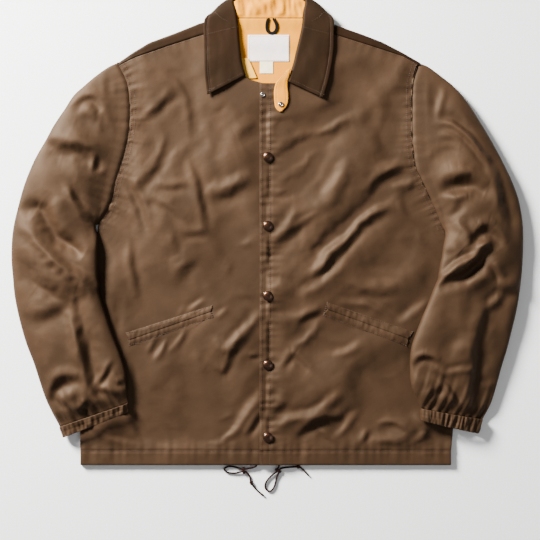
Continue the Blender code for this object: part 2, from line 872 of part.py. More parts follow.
back = build_back()
under = build_front("front_left_under", UNDER_UPPER, top, -1)
over = build_front("front_right_over", OVER_UPPER, over_top, 1)
build_sleeve("sleeve_left", SLEEVE_LEFT, -1)
build_sleeve("sleeve_right", SLEEVE_RIGHT, 1)
build_cuff("cuff_left", CUFF_LEFT, -1)
build_cuff("cuff_right", CUFF_RIGHT, 1)
build_collar()
stand = [seen(build_stand())]
on_back = [seen(back)]
neck_lining = build_neck_lining(lambda x, y: rest(on_back, x, y, 5.0) + 0.4)
build_stand_lining(lambda x, y: rest(stand, x, y, 2.0, 5.5) + 0.4)

fronts = [seen(under), seen(over)]
inside = [seen(neck_lining), on_back[0]]


def on_fronts(x, y):
    return rest(fronts, x, y, 4.0) + 0.4


def on_lining(x, y):
    return rest(inside, x, y, 4.0) + 0.3


WELTS = (
    ("left", -1, (-213, 198), (-83, 239.5), (-207, 188.5), (-86, 230.5), (-208.5, 178.5), (-82, 222)),
    ("right", 1, (88, 244), (218, 199.5), (90, 233.5), (210, 190), (82, 225.5), (208.5, 178.5)),
)
for side, _, top_a, top_b, mid_a, mid_b, low_a, low_b in WELTS:
    shift = np.array([0.0, 0.3])
    upper = [np.array(mid_a) + shift, np.array(mid_b) + shift, top_b, top_a]
    lower = [low_a, low_b, np.array(mid_b) - shift, np.array(mid_a) - shift]
    patch(f"welt_{side}_upper", upper, on_fronts, PATCH_WALL, "nylon", 13, 2)
    patch(f"welt_{side}_lower", lower, on_fronts, PATCH_WALL, "nylon", 13, 2)
patch("label", ((-30, 606), (31.5, 606), (31.5, 645), (-30, 645)), on_lining, PATCH_WALL, "label", 5, 4)
patch("size_tab", ((-12, 588), (7.5, 588), (7.5, 605.6), (-12, 605.6)), on_lining, PATCH_WALL, "label", 3, 3)
build_loop(on_lining)

for k, y in enumerate(SNAP_YS):
    height = rest([fronts[1]], 0.0, y, SNAP_RADIUS) + 0.3
    build_snap(f"snap_{k + 1}", 0.0, y, height, SNAP_RADIUS, SNAP_RISE)
build_snap("snap_top", -8.0, 561.0 - 6.0, rest([fronts[1]], -8.0, 555, 3.5) + 0.3, 3.6, 1.8)

tab_level = max(rest(fronts, x, y, 5.0) for x, y in ((14, 535), (20, 545), (24, 555), (16, 562)))
tab = build_chin_tab(lambda x, y: tab_level + 0.5)
build_snap("chin_tab_snap", 19.5, 540.0, tab_level + 0.5 + 1.6 + 0.3, 4.0, 1.8)

cords = [build_cord("drawcord_left", CORD_LEFT), build_cord("drawcord_right", CORD_RIGHT)]
for wrap in CORD_WRAPS:
    cords.append(build_wrap(*wrap))

MIDDLE = to_metres(list(JACKET.objects), {c.name for c in cords})
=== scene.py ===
"""Looks of the coach jacket: its cloth, seams, creases, lining, snaps and cord round the CAD frame.

Tables are in millimetres from the middle of the hem, as the pattern is drawn: X to the viewer's
right, Y from the hem to the collar and Z up. to_metres puts them in the row's frame.
"""

import json
import math

import bpy
import numpy as np
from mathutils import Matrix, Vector
from mathutils.bvhtree import BVHTree

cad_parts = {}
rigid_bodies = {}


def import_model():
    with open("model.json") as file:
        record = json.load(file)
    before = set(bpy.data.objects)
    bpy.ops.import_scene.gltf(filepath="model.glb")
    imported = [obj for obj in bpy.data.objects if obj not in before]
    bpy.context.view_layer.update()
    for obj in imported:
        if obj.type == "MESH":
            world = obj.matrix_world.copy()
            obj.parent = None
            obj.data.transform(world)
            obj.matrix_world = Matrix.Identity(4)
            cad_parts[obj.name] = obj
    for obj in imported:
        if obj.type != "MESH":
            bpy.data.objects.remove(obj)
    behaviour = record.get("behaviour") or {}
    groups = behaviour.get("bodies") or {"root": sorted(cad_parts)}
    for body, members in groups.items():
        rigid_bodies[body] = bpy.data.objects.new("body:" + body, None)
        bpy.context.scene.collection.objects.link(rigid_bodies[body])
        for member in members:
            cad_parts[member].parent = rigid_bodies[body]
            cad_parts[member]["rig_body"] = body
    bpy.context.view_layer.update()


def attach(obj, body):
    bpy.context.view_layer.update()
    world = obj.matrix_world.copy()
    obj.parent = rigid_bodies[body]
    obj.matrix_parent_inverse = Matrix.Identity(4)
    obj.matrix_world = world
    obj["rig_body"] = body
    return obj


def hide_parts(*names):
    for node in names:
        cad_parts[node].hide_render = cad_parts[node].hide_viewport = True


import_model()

MIDDLE = np.array((-1.0367, 356.8883, -0.1312))  # the row's origin, in the pattern's millimetres
PHOTO_MIDDLE = (3.0, 292.5)
WALL = 1.0  # thickness of the shell's cloth
GAP = 0.5  # between the lower front and the upper one
SEAM = 0.4  # kept free between two pieces at a seam
HEM_ROLL = 1.5  # radius of the hem's fold
HEM_TURN = 19.0  # depth of the turned hem
EDGE_TOP = 3.2  # height of the fronts at the body's edge
CROWN = 2.6  # rise from there to the middle of a panel
HEM_TOP = 6.8  # height of the hem
NECK_RISE = 2.4  # rise of the fronts beside the collar
BACK_LIFT = 3.0  # rise of the back towards the neck
UNDER_EDGE = 14.0  # x of the lower front's free edge
SNAP_YS = (462.0, 358.5, 253.5, 150.0, 42.0)
SNAP_RADIUS = 7.6
TAB_LEVEL = 11.6  # height of the throat tab
FOLD = 1.8  # strength of the listed creases
RIDGE_ROUND = 0.0006  # keeps the crests of ridged waves round
CORD = 2.6  # diameter of the drawcord
BANDS_APART = 314.0  # millimetres between two bands of a wave texture at a scale of 1
SLUB_SIZE = 5.88  # from one thick place in the threads to the next
GRAIN = 0.55  # how much of its fine detail a noise texture keeps

# Edge of the body from the hem up: y, left x, right x. It follows the side seam, then the armhole.
BODY_EDGE = np.array((
    (0, -280, 273), (21, -281, 274), (57, -282, 278), (112, -276, 277), (172, -270, 274),
    (232, -265, 272), (292, -261, 268), (330, -258, 267), (348, -256.5, 266), (355, -255, 263),
    (364, -254, 260), (380, -243, 254), (396, -236, 247), (420, -230, 234), (444, -223, 222),
    (462, -217, 219), (482, -212, 217), (507, -208, 216), (532, -207, 216), (555, -208, 216),
    (573, -211, 217), (585, -216, 220), (598, -223, 224), (604, -226, 230),
))
# Fold of the back at the shoulders and its neck seam, from left to right: x, y
BACK_TOP = np.array((
    (-223.5, 603.5), (-202, 618.5), (-178, 633), (-140, 647), (-102, 662), (-80, 666),
    (-50, 669.6), (-47, 670), (3, 670), (53, 670), (56, 669.6), (81, 666), (108, 657),
    (140, 646), (171, 634), (201, 618.5), (227, 603.5),
))
NECK_POINTS = (-48.5, 54.5)
NECK_SEAM = 669.4
# Front shoulder seam, from left to right: x, y
SHOULDER_SEAM = np.array((
    (-226, 599), (-200, 612), (-152, 629), (-102, 645), (-46, 658.5),
    (52, 658.5), (105, 645), (153, 630), (202, 614), (230, 599),
))
# Upper edge of each front from left to right, shoulder seam and neckline: x, y
UNDER_UPPER = (
    (-224, 599), (-200, 611), (-152, 628), (-102, 644), (-49, 657), (-46.5, 640), (-44.5, 620),
    (-42.5, 604), (-37.5, 585), (-27, 577.5), (-9, 572.5), (14, 571.5),
)
OVER_UPPER = (
    (-12, 572), (9, 572), (25, 572.3), (34, 575.5), (41.5, 601), (45.5, 620), (50, 640),
    (55, 657), (105, 644), (153, 629), (202, 613), (228, 599),
)
# Sleeves from the armhole down: outer x, y, underarm x, y, share of the armhole's line, height
SLEEVE_LEFT = (
    (-226.4, 604, -254.4, 364, 1.0, 6.6), (-240, 597, -258.5, 358, 0.78, 11),
    (-258, 584, -258, 353, 0.58, 15), (-274, 570, -256, 348, 0.4, 19),
    (-291, 554, -255, 343, 0.26, 22), (-304, 534, -254.5, 337, 0.15, 24),
    (-320, 510, -254.5, 331, 0.07, 25), (-332, 488, -254.5, 324, 0.02, 25.5),
    (-349, 458, -254.5, 316, 0.0, 26), (-364, 422, -254.5, 307, 0.0, 26),
    (-374, 387, -254.5, 297, 0.0, 26), (-382, 350, -254.5, 287, 0.0, 26),
    (-384, 312, -254, 279, 0.0, 26), (-382, 282, -252.5, 270, 0.0, 25),
    (-379, 252, -253, 260, 0.0, 25), (-372, 218, -248, 244, 0.0, 24),
    (-362, 183, -240, 220, 0.0, 24), (-351, 154, -231, 194, 0.0, 23),
    (-342, 126, -220, 165, 0.0, 22), (-334, 102, -213, 141, 0.0, 21),
    (-324, 80, -211, 118, 0.0, 20), (-312.5, 58, -209, 94, 0.0, 18),
)
SLEEVE_RIGHT = (
    (230.4, 604, 263.4, 355, 1.0, 6.6), (243, 596, 265.6, 350.5, 0.78, 11),
    (261, 582, 266, 344, 0.58, 15), (280, 566, 265, 339, 0.4, 19),
    (300, 542, 263.5, 333, 0.26, 22), (319, 512, 262, 327, 0.15, 24),
    (335, 485, 261, 320, 0.07, 25), (350, 457, 260, 312, 0.02, 25.5),
    (364, 428, 258, 304, 0.0, 26), (375, 398, 256.5, 296, 0.0, 26),
    (381, 364, 255, 287, 0.0, 26), (382, 334, 254, 279, 0.0, 26),
    (381, 303, 250, 270, 0.0, 25), (378, 270, 245, 258, 0.0, 25),
    (373, 236, 239, 242, 0.0, 24), (365, 202, 230, 221, 0.0, 24),
    (358, 174, 221, 198, 0.0, 23), (350, 148, 214, 176, 0.0, 22),
    (343, 122, 212, 151, 0.0, 21), (334, 93, 215, 117, 0.0, 20), (322, 69, 229, 86, 0.0, 18),
)
# Cuffs: outer x, y and inner x, y of the seam to the sleeve, then of the open edge
CUFF_LEFT = ((-312.5, 57.3, -209, 93.3), (-308, 42, -208, 81))
CUFF_RIGHT = ((322, 68.3, 229, 85.3), (316, 48, 229, 68))
# Collar leaf from its left front end round the back to its right front end: x, y, z of the roll,
# of the leaf's middle and of its outer edge
COLLAR = (
    (-37, 583.5, 9.7, -62, 570, 10.4, -90.5, 555.5, 11.6),
    (-42.5, 604, 9.8, -68, 596, 10.3, -94, 586, 10.6),
    (-44.5, 619, 9.8, -70, 618, 10.2, -95, 618, 10.0),
    (-46.5, 638, 9.8, -71, 640, 10.1, -95.5, 643, 9.9),
    (-48, 659, 9.7, -72, 660, 10.0, -95.5, 662, 9.9),
    (-51, 680, 8.6, -72, 677, 9.4, -92, 671, 8.8),
    (-54, 693, 6.0, -73, 688, 5.8, -83, 675, 4.8),
    (-51, 703, 3.6, -62, 694, 2.0, -69, 664, 1.1),
    (-42, 709, 2.8, -47, 690, 1.1, -49, 657, 1.1),
    (-22, 712.5, 2.6, -25, 690, 1.1, -25, 656, 1.1),
    (2.5, 713.5, 2.6, 2.5, 690, 1.1, 2.5, 656, 1.1),
    (27, 712.5, 2.6, 30, 690, 1.1, 30, 656, 1.1),
    (47, 709, 2.8, 52, 690, 1.1, 54, 657, 1.1),
    (56, 703, 3.6, 67, 694, 2.0, 74, 664, 1.1),
    (59, 693, 6.0, 78, 688, 5.8, 88, 675, 4.8),
    (56.5, 680, 8.6, 77, 677, 9.4, 96, 671, 8.8),
    (54.5, 659, 9.7, 75, 660, 10.0, 98, 662, 9.9),
    (50, 638, 9.8, 73, 640, 10.1, 98, 643, 9.9),
    (45, 617, 9.8, 71, 617, 10.2, 97, 617, 10.0),
    (41, 600, 9.8, 64, 593, 10.3, 91, 582, 10.6),
    (32.5, 574, 11.1, 56, 563, 10.9, 82, 551, 11.6),
)
# Drawcords, each from inside the hem to its tip: x, y, z
CORD_LEFT = (
    (-17, -0.7, 4.4), (-19, -2.6, 4.0), (-24, -4.6, 3.2), (-33, -6.3, 2.9), (-38, -6.8, 2.9),
    (-50, -3.5, 1.6), (-60, -3, 1.5), (-65.5, -6.5, 1.5), (-62, -11.5, 1.5), (-50, -13, 1.7),
    (-40, -10.6, 2.9), (-34, -10.2, 2.9), (-28, -17, 1.8), (-26.4, -24, 1.6), (-25.6, -26, 2.0),
    (-24.6, -28.4, 2.0), (-23.4, -30.6, 1.6), (-16, -39, 1.5), (-6.5, -47, 1.5),
)
CORD_RIGHT = (
    (17, -0.7, 4.4), (16.4, -2.4, 3.9), (15, -5, 3.1), (13, -10, 2.9), (4, -18, 1.7),
    (-2.5, -26, 1.5), (-4.4, -33, 1.5), (-1, -39, 1.5), (4.5, -39.5, 1.5), (9.5, -33, 1.5),
    (12.5, -22, 1.5), (16.4, -11, 2.9), (18.2, -6.6, 2.9), (26, -4.5, 1.6), (42, -3.2, 1.6),
    (44.4, -3.2, 2.0), (47, -3.6, 2.0), (49.4, -4.6, 1.6), (56, -11, 1.5), (61, -16.5, 1.5),
)
# Turns that wrap each bow: x, y, z, half length, half width, height and the cord's way in degrees
CORD_WRAPS = ((-36.2, -8.5, 2.9, 2.0, 3.7, 1.6, 0), (15.2, -8.6, 2.9, 2.0, 3.4, 1.6, 60))
# Knots: x, y, z and the cord's way in degrees
KNOTS = ((-25.2, -27.2, 2.2, -70), (45.7, -3.4, 2.2, 0))
# Pocket welts: corners of the upper one, the mouth between, corners of the lower one
WELTS = (
    ("left", (-213, 198), (-83, 239.5), (-207, 188.5), (-86, 230.5), (-208.5, 178.5), (-82, 222)),
    ("right", (88, 244), (218, 199.5), (90, 233.5), (210, 190), (82, 225.5), (208.5, 178.5)),
)
# Corners of the flat patches in the neck, from the lower left one round: x, y
LABEL_CORNERS = ((-30, 606), (31.5, 606), (31.5, 645), (-30, 645))
SIZE_TAB_CORNERS = ((-12, 588), (7.5, 588), (7.5, 607.5), (-12, 607.5))
FACING_CORNERS = ((-38.5, 579.5), (-17, 581), (-29.5, 610), (-43.5, 611))
# Hanging loop, from its left end round: x, y
LOOP = ((0.5, 669.5), (-1.6, 660), (-0.4, 651.5), (5.8, 647.5), (12, 651.5), (13, 660), (8.5, 669.5))
# Throat tab from under the right leaf to its rounded end: x, y, half width
CHIN_TAB = (
    (31, 592, 2.6), (28, 586, 4.4), (24.5, 580, 6.4), (21, 574, 8.2), (19.5, 564, 9.6),
    (19.8, 554, 10.2), (20, 544, 9.7), (19.6, 537, 8.0), (19.4, 532.4, 4.6), (19.4, 530.4, 1.8),
)

# Creases placed one by one: rise along the line (a trough is negative), fall across it (positive is
# lower on the line's lower right, which the key light leaves dark), half width, then x, y of each point
BODY_CREASES = (
    (0, 1.5, 7.5, -199, 412, -180, 434, -162, 452, -154, 472, -152, 501),
    (0, 1.3, 6.8, -153, 588, -138, 579, -126, 566, -117, 540, -114, 494),
    (0, 1.4, 7.5, -193, 512, -166, 531, -153, 544, -138, 560),
    (0, 1.2, 6.8, -166, 418, -144, 416, -120, 420), (0, 1, 10.5, -118, 476, -130, 458, -138, 428),
    (0, 1.6, 6.8, -116, 458, -104, 418, -90, 354), (0, 1.6, 10.5, -84, 396, -51, 411, -18, 426),
    (0.6, -1, 9, -90, 412, -69, 422, -39, 434), (0, 1, 6, -126, 348, -90, 346),
    (0, 1.7, 6.3, -220, 424, -207, 406, -186, 351), (1.2, -0.6, 6, -204, 430, -192, 398, -178, 356),
    (0, 1.2, 6.8, -177, 400, -150, 386, -126, 366), (0, 1.3, 6, -80, 530, -58, 554),
    (0, 1, 6, -54, 546, -30, 530), (0, 1.1, 10.5, -45, 490, -16, 508),
    (0, -0.8, 12, -102, 518, -92, 488, -102, 458), (0, -0.7, 12, -177, 562, -184, 532, -177, 495),
    (0.4, -0.6, 10.5, -63, 488, -69, 458, -60, 434), (0, 1.2, 9, 3, 508, 29, 526),
    (0, 1.1, 8.2, 50, 543, 75, 537, 122, 548), (0, 1.9, 9, 124, 514, 98, 500, 68, 490, 29, 472, 10, 455),
    (0.3, -1.2, 7.5, 126, 530, 99, 516, 72, 500), (0.3, -1.5, 9.8, 64, 486, 54, 459, 29, 444, 3, 429),
    (0, 1.6, 12, 78, 472, 56, 444, 29, 424, 3, 404), (0.4, -1.3, 7.5, 114, 458, 98, 429, 81, 405),
    (0, 1.2, 9, 129, 442, 111, 412, 93, 388), (0, 1.1, 5.2, 12, 404, 36, 411),
    (0.4, -1.4, 7.5, 40, 386, 20, 356, 3, 342), (0.3, -1.1, 5.2, 74, 382, 38, 360),
    (0, 1.2, 7.5, 81, 388, 48, 364, 24, 338, 6, 320), (0, 1.9, 13.5, 126, 376, 105, 354, 71, 326, 54, 304),
    (0.6, -2.6, 9, 189, 396, 153, 382, 124, 354, 87, 320, 69, 292),
    (0, 2.6, 7.5, 177, 381, 144, 362, 117, 333, 82, 292, 72, 278),
    (0, 2.5, 8.2, 219, 447, 198, 441, 172, 429, 147, 406), (0.4, -1.1, 9, 162, 448, 201, 456),
    (0, 1.4, 6.8, 200, 410, 208, 381, 226, 363, 244, 332), (0, 1.3, 5.2, 210, 411, 225, 429),
    (0.3, -1.2, 6, 186, 420, 220, 432), (0, 0.9, 9, 162, 502, 174, 472),
    (0, -0.9, 9, 147, 554, 165, 536, 156, 506), (0.4, -1.7, 7.5, 108, 304, 82, 279, 48, 260),
    (0, 1, 12, 141, 315, 168, 304, 201, 304), (0.3, -0.9, 7.5, 192, 340, 216, 350, 234, 338),
    (0, 1.1, 6.8, 114, 272, 156, 258, 195, 260), (0.2, -0.9, 6, 156, 276, 195, 274),
    (0.3, -1.3, 6, 110, 249, 156, 242, 192, 219), (0.2, -1.3, 6, 195, 218, 216, 232, 236, 248),
    (0, 1.7, 6, 45, 214, 63, 225, 80, 231), (0.3, -2, 7.5, 33, 177, 54, 195, 76, 214),
    (0, -1, 9, 3, 222, 54, 226), (0, -1, 7.5, 0, 264, 18, 273, 42, 262),
    (0, 1.7, 6, 22, 146, 36, 164, 48, 158, 63, 142), (0.2, -1.2, 6, 96, 170, 117, 172, 134, 184),
    (0, 0.9, 7.5, 75, 188, 108, 180), (0.3, -1.5, 6, 162, 132, 194, 140, 202, 160),
    (0, 1.7, 5.2, 186, 115, 214, 115), (0.5, -2, 7.5, 105, 112, 72, 80, 38, 75, 12, 62),
    (0, 2.4, 6.8, 112, 69, 74, 66, 45, 44), (0.3, -1.8, 6, 130, 80, 99, 45), (0, 2, 5.2, 152, 51, 140, 28),
    (0, 1.8, 6, 166, 57, 186, 60, 208, 52), (0.3, -1.5, 5.2, 172, 44, 198, 38),
    (0.3, -1.5, 6, 216, 72, 231, 52, 212, 30), (0, 1.5, 4.5, 159, 33, 195, 28),
    (0, 1.4, 5.2, 78, 50, 102, 28), (0, 1.3, 6, 8, 81, 28, 92), (0, -0.9, 7.5, 22, 116, 12, 98),
    (0, 1.2, 18, 117, 146, 132, 122, 147, 92), (0, 1, 9, 177, 100, 192, 76),
    (0, 1.5, 6.8, -207, 339, -202, 296, -190, 252), (0, 1, 6.8, -144, 348, -130, 320),
    (0, 1.1, 9, -111, 308, -135, 276), (0.3, -0.9, 10.5, -150, 304, -123, 310),
    (0, -1, 4.5, -172, 243, -156, 224), (0.3, -1.2, 4.2, -153, 192, -170, 160),
    (0, 1, 3.8, -165, 190, -177, 168), (0.3, -1.4, 4.2, -129, 204, -148, 172),
    (0, 0.9, 3.9, -120, 201, -135, 170), (0.2, -1, 4.5, -122, 232, -98, 250),
    (0.2, -0.8, 3.9, -141, 220, -129, 238), (0.4, -1.7, 6.8, -14, 231, -40, 201, -63, 178, -80, 190),
    (0, 1.4, 6.8, -33, 192, -52, 170, -66, 138, -84, 148), (0, 1.1, 4.5, -28, 162, -14, 164),
    (0, -0.9, 4.5, -78, 224, -63, 236), (0.5, -2.3, 7.5, -15, 112, -33, 82, -63, 48, -80, 30),
    (0, 1.7, 5.2, -9, 80, -20, 62, -33, 44), (0, 1.5, 6.8, -48, 69, -81, 60),
    (0, 1.6, 4.5, -96, 28, -66, 27), (0, 1.4, 6, -206, 148, -202, 66, -183, 22),
    (0.3, -1.3, 6, -243, 44, -198, 28), (0, 1, 12, -180, 60, -120, 26), (0.2, -1, 6, -40, 285, -14, 288),
    (0.2, -0.9, 6, -54, 334, -27, 338), (0, 0.9, 9, -105, 170, -93, 140),
    (0, -0.8, 13.5, -138, 148, -144, 98), (0, 0.8, 10.5, -78, 110, -81, 80),
    (0, 0.9, 7.5, -234, 248, -225, 210), (0, 0.8, 6, -42, 254, -15, 248),
    (0, 0.9, 9, -63, 314, -48, 304, -54, 284),
)
SLEEVE_CREASES = (
    (0, 2.6, 6, -238, 598, -242, 570, -237, 555, -226, 546), (0, 2, 5.2, -220, 578, -226, 552),
    (0, 3.2, 6.8, -288, 536, -276, 549, -260, 550, -248, 537, -234, 500),
    (0.6, -2, 10.5, -282, 528, -264, 520, -250, 496),
    (0, 4, 12.5, -330, 492, -304, 476, -276, 472, -246, 454), (0, 1.5, 6, -336, 494, -318, 478),
    (0, 2.6, 5.2, -256, 460, -256, 441), (1, -1.5, 5.2, -256, 438, -234, 446),
    (0, -1.5, 6, -310, 548, -297, 532),
    (-5.6, -3, 9.5, -372, 381, -345, 381, -334, 364, -312, 334, -276, 312),
    (2.9, 3.2, 8, -369, 364, -342, 340, -316, 312, -288, 291, -267, 272, -246, 236),
    (0, 2.5, 6, -296, 418, -280, 388, -262, 372), (0, 4, 14, -369, 326, -338, 278, -288, 254),
    (0, 1.7, 10.5, -369, 224, -324, 225, -291, 252), (0, 4, 8.5, -290, 252, -280, 202, -268, 146, -256, 98),
    (0.5, -1.2, 12, -264, 232, -246, 180, -234, 142),
    (0, 3.2, 7.5, -327, 94, -318, 124, -300, 132, -282, 130), (0.6, -1.8, 7.5, -312, 105, -291, 116),
    (0, 1.8, 4.5, -254, 118, -230, 156), (0, 2.2, 6, -256, 114, -222, 106),
    (0, 2, 4.5, -225, 124, -212, 126), (0, 2, 5.2, -279, 81, -270, 99), (0, 1.6, 5.2, -318, 102, -288, 81),
    (0, -1.2, 12, -312, 404, -324, 374), (0, -1, 13.5, -351, 202, -336, 142),
    (0, -1, 6, -258, 360, -258, 322), (0, 3.4, 6.8, 222, 586, 246, 591), (0, 2.9, 6.8, 242, 574, 240, 536),
    (0.8, -2.2, 5.2, 260, 567, 249, 519), (0, 1.3, 7.5, 264, 531, 285, 522, 306, 502),
    (0.6, -1.8, 4.5, 250, 518, 273, 514, 297, 496, 328, 459),
    (0, 2, 4.5, 254, 508, 273, 506, 296, 488, 326, 453), (0, 2, 6.8, 254, 490, 273, 490, 288, 482),
    (0, 1.3, 6, 254, 472, 270, 476, 285, 470), (0, 3.6, 6.8, 228, 453, 250, 464),
    (0, 5, 9.8, 252, 417, 273, 429, 300, 428, 327, 417), (1.2, -3, 6.8, 243, 386, 260, 402, 297, 408),
    (0, 3, 6.8, 246, 382, 256, 363), (0, 2.8, 9, 332, 464, 348, 406, 357, 351),
    (0, 1.8, 6.8, 267, 374, 288, 392), (0, 2.4, 6.8, 284, 369, 297, 351, 304, 330),
    (0, 3.4, 8.2, 306, 339, 315, 354, 333, 354, 352, 330), (0.5, -2.2, 6.8, 309, 332, 330, 334),
    (1, -2.6, 5.2, 244, 274, 266, 292, 285, 306, 318, 318),
    (0, 4.6, 7.5, 252, 268, 273, 282, 297, 296, 330, 328), (0.5, -2.4, 9.8, 294, 276, 330, 298),
    (0.3, -1.8, 5.2, 333, 302, 348, 279), (0, 3.6, 9.8, 342, 262, 376, 264),
    (0.3, -1.8, 6, 327, 240, 348, 260), (0, 1.6, 8.2, 260, 332, 282, 314),
    (0, 3.2, 9.8, 326, 238, 315, 201, 309, 150, 306, 80), (0, -1.1, 12, 290, 202, 274, 154),
    (0, 3, 5.2, 213, 153, 232, 164, 254, 154), (0.4, -1.6, 9, 218, 144, 243, 126),
    (0, 1.9, 4.5, 250, 135, 270, 118, 282, 93), (0.3, -1.3, 5.2, 262, 142, 306, 150),
    (0, 1.7, 5.2, 238, 104, 256, 118), (0.3, -1.3, 5.2, 315, 122, 340, 124),
    (0, -1.2, 9, 357, 248, 348, 202), (0, 0.9, 12, 264, 248, 255, 202),
)


def ease(a, b, v):
    """0 at a, 1 at b and smooth between."""
    t = np.clip((np.asarray(v, dtype=float) - a) / (b - a), 0.0, 1.0)
    return t * t * (3 - 2 * t)


def bend(points, count):
    """A smooth line or set of rows through the given ones, evenly spaced by their number."""
    p = np.array(points, dtype=float)
    n = len(p) - 1
    ends = np.vstack([2 * p[0] - p[1], p, 2 * p[-1] - p[-2]])
    out = []
    for t in np.linspace(0, n, count):
        i = min(int(t), n - 1)
        f = t - i
        a, b, c, d = ends[i : i + 4]
        far = (2 * a - 5 * b + 4 * c - d) * f**2 + (3 * b - a - 3 * c + d) * f**3
        out.append(0.5 * (2 * b + (c - a) * f + far))
    return np.array(out)


def spread(points, count):
    """Points evenly spaced along a line."""
    p = np.array(points, dtype=float)
    steps = np.linalg.norm(np.diff(p, axis=0), axis=1)
    along = np.concatenate([[0], np.cumsum(steps)])
    at = np.linspace(0, along[-1], count)
    return np.stack([np.interp(at, along, p[:, k]) for k in range(p.shape[1])], axis=1)


def scatter(i, j, seed):
    """A fixed number from 0 to 1 for each point of a lattice."""
    n = (i * 374761393 + j * 668265263 + seed * 974634777) & 0xFFFFFFFF
    n = ((n ^ (n >> 13)) * 1274126177) & 0xFFFFFFFF
    return ((n ^ (n >> 16)) & 0xFFFF) / 65536.0


def unrest(x, y, seed):
    """Smooth uneven waves about one unit apart, from about -0.7 to 0.7."""
    x, y = np.asarray(x, dtype=float), np.asarray(y, dtype=float)
    i, j = np.floor(x).astype(np.int64), np.floor(y).astype(np.int64)
    fx, fy = x - i, y - j
    u, v = fx**3 * (fx * (6 * fx - 15) + 10), fy**3 * (fy * (6 * fy - 15) + 10)

    def corner(a, b):
        turn = 2 * math.pi * scatter(i + a, j + b, seed)
        return np.cos(turn) * (fx - a) + np.sin(turn) * (fy - b)

    low = corner(0, 0) * (1 - u) + corner(1, 0) * u
    high = corner(0, 1) * (1 - u) + corner(1, 1) * u
    return low * (1 - v) + high * v


def slanted(x, y, size, stretch, degrees, seed):
    """Uneven waves that run long in one direction."""
    c, s = math.cos(math.radians(degrees)), math.sin(math.radians(degrees))
    along, over = x * c + y * s, -x * s + y * c
    over = over + 0.35 * size * unrest(x / (2 * size), y / (2 * size), seed + 7)
    return unrest(along / (size * stretch), over / size, seed)


def edges(y):
    """The body's left and right edge at a height."""
    return (
        np.interp(y, BODY_EDGE[:, 0], BODY_EDGE[:, 1]),
        np.interp(y, BODY_EDGE[:, 0], BODY_EDGE[:, 2]),
    )


def nearest(x, y, line):
    """Distance to a line's nearest point, its way along the line, the offset across, the whole length."""
    best = np.full_like(x, 1e9)
    where, off = np.zeros_like(x), np.zeros_like(x)
    start = 0.0
    for (x0, y0), (x1, y1) in zip(line[:-1], line[1:], strict=True):
        dx, dy = x1 - x0, y1 - y0
        length = math.hypot(dx, dy)
        t = np.clip(((x - x0) * dx + (y - y0) * dy) / length**2, 0.0, 1.0)
        d = np.hypot(x - x0 - t * dx, y - y0 - t * dy)
        near = d < best
        best = np.where(near, d, best)
        where = np.where(near, start + t * length, where)
        off = np.where(near, ((x - x0) * dy - (y - y0) * dx) / length, off)
        start += length
    return best, where, off, start


def creases(x, y, table):
    """The sum of the listed creases. Each has a rise along its line and a fall across it."""
    total = np.zeros_like(x)
    wander = unrest(x / 34, y / 34, 3) + 0.5 * unrest(x / 13, y / 13, 4)
    for rise, shade, half, *flat in table:
        line = np.array(flat, dtype=float).reshape(-1, 2)
        if len(line) > 2:
            line = bend(line, 3 * len(line) - 2)
        low, high = line.min(axis=0) - 4 * half, line.max(axis=0) + 4 * half
        near = (x > low[0]) & (x < high[0]) & (y > low[1]) & (y < high[1])
        if not near.any():
            continue
        best, where, off, length = nearest(x[near], y[near], line)
        beyond = np.sqrt(np.maximum(best**2 - off**2, 0))
        way = 1.0 if (line[-1] - line[0]).sum() > 0 else -1.0
        q = way * off / (1.3 * half) + 0.4 * wander[near]
        t = where / length
        fade = (0.25 + 0.75 * np.sin(np.pi * t) ** 0.6) * np.exp(-((beyond / half) ** 2))
        bell = np.exp(-(q**2))
        total[near] += (rise * bell - 1.6 * shade * q * bell) * fade
    return total


def puckers(x, y, line, height, pitch, reach, seed, groove=0.0):
    """Small gathers that a seam pulls into the cloth beside it, and the groove of its stitches."""
    d, s = nearest(x, y, line)[:2]
    long = 0.6 + 0.8 * (unrest(s / (5 * pitch), s * 0, seed + 1) + 0.5)
    ripple = unrest(s / pitch + 0.25 * unrest(d / 5, s / 30, seed + 2), d / (6 * reach), seed)
    out = 2.2 * height * ripple * np.exp(-((d / (reach * long)) ** 1.4))
    return out - groove * np.exp(-((d / 1.3) ** 2))


ARMHOLE_LEFT = [(BODY_EDGE[k, 1], BODY_EDGE[k, 0]) for k in range(9, 24)]
ARMHOLE_RIGHT = [(BODY_EDGE[k, 2], BODY_EDGE[k, 0]) for k in range(9, 24)]
PLACKET_STITCH = ((3.0, 22.0), (3.0, 568.0))
PLACKET_EDGE = ((-8.5, 22.0), (-8.5, 568.0))
HEM_STITCH = ((-280.0, 21.0), (274.0, 21.0))


def inside_by(x, y):
    """How far inside the body's edge a point lies."""
    left, right = edges(y)
    return np.minimum(x - left, right - x)


def near_neck(x, y):
    """1 beside the collar and 0 away from it."""
    return ease(118, 74, np.abs(x - 1)) * ease(512, 552, y)


def calm(x, y):
    """1 in the middle of the panels and 0 where a seam, the collar or the hem holds them flat."""
    panel = ease(2, 34, inside_by(x, y)) * ease(20, 52, y) * ease(626, 590, y)
    return panel * (1 - near_neck(x, y))


def top(x, y):
    """Height of the upper side of the lower front, and of both fronts beside the placket."""
    edge = EDGE_TOP + CROWN * ease(380, 430, y)
    height = edge + (EDGE_TOP + CROWN - edge) * ease(0, 50, inside_by(x, y))
    height = height + NECK_RISE * near_neck(x, y)
    return height + (HEM_TOP - height) * ease(52, 22, y)


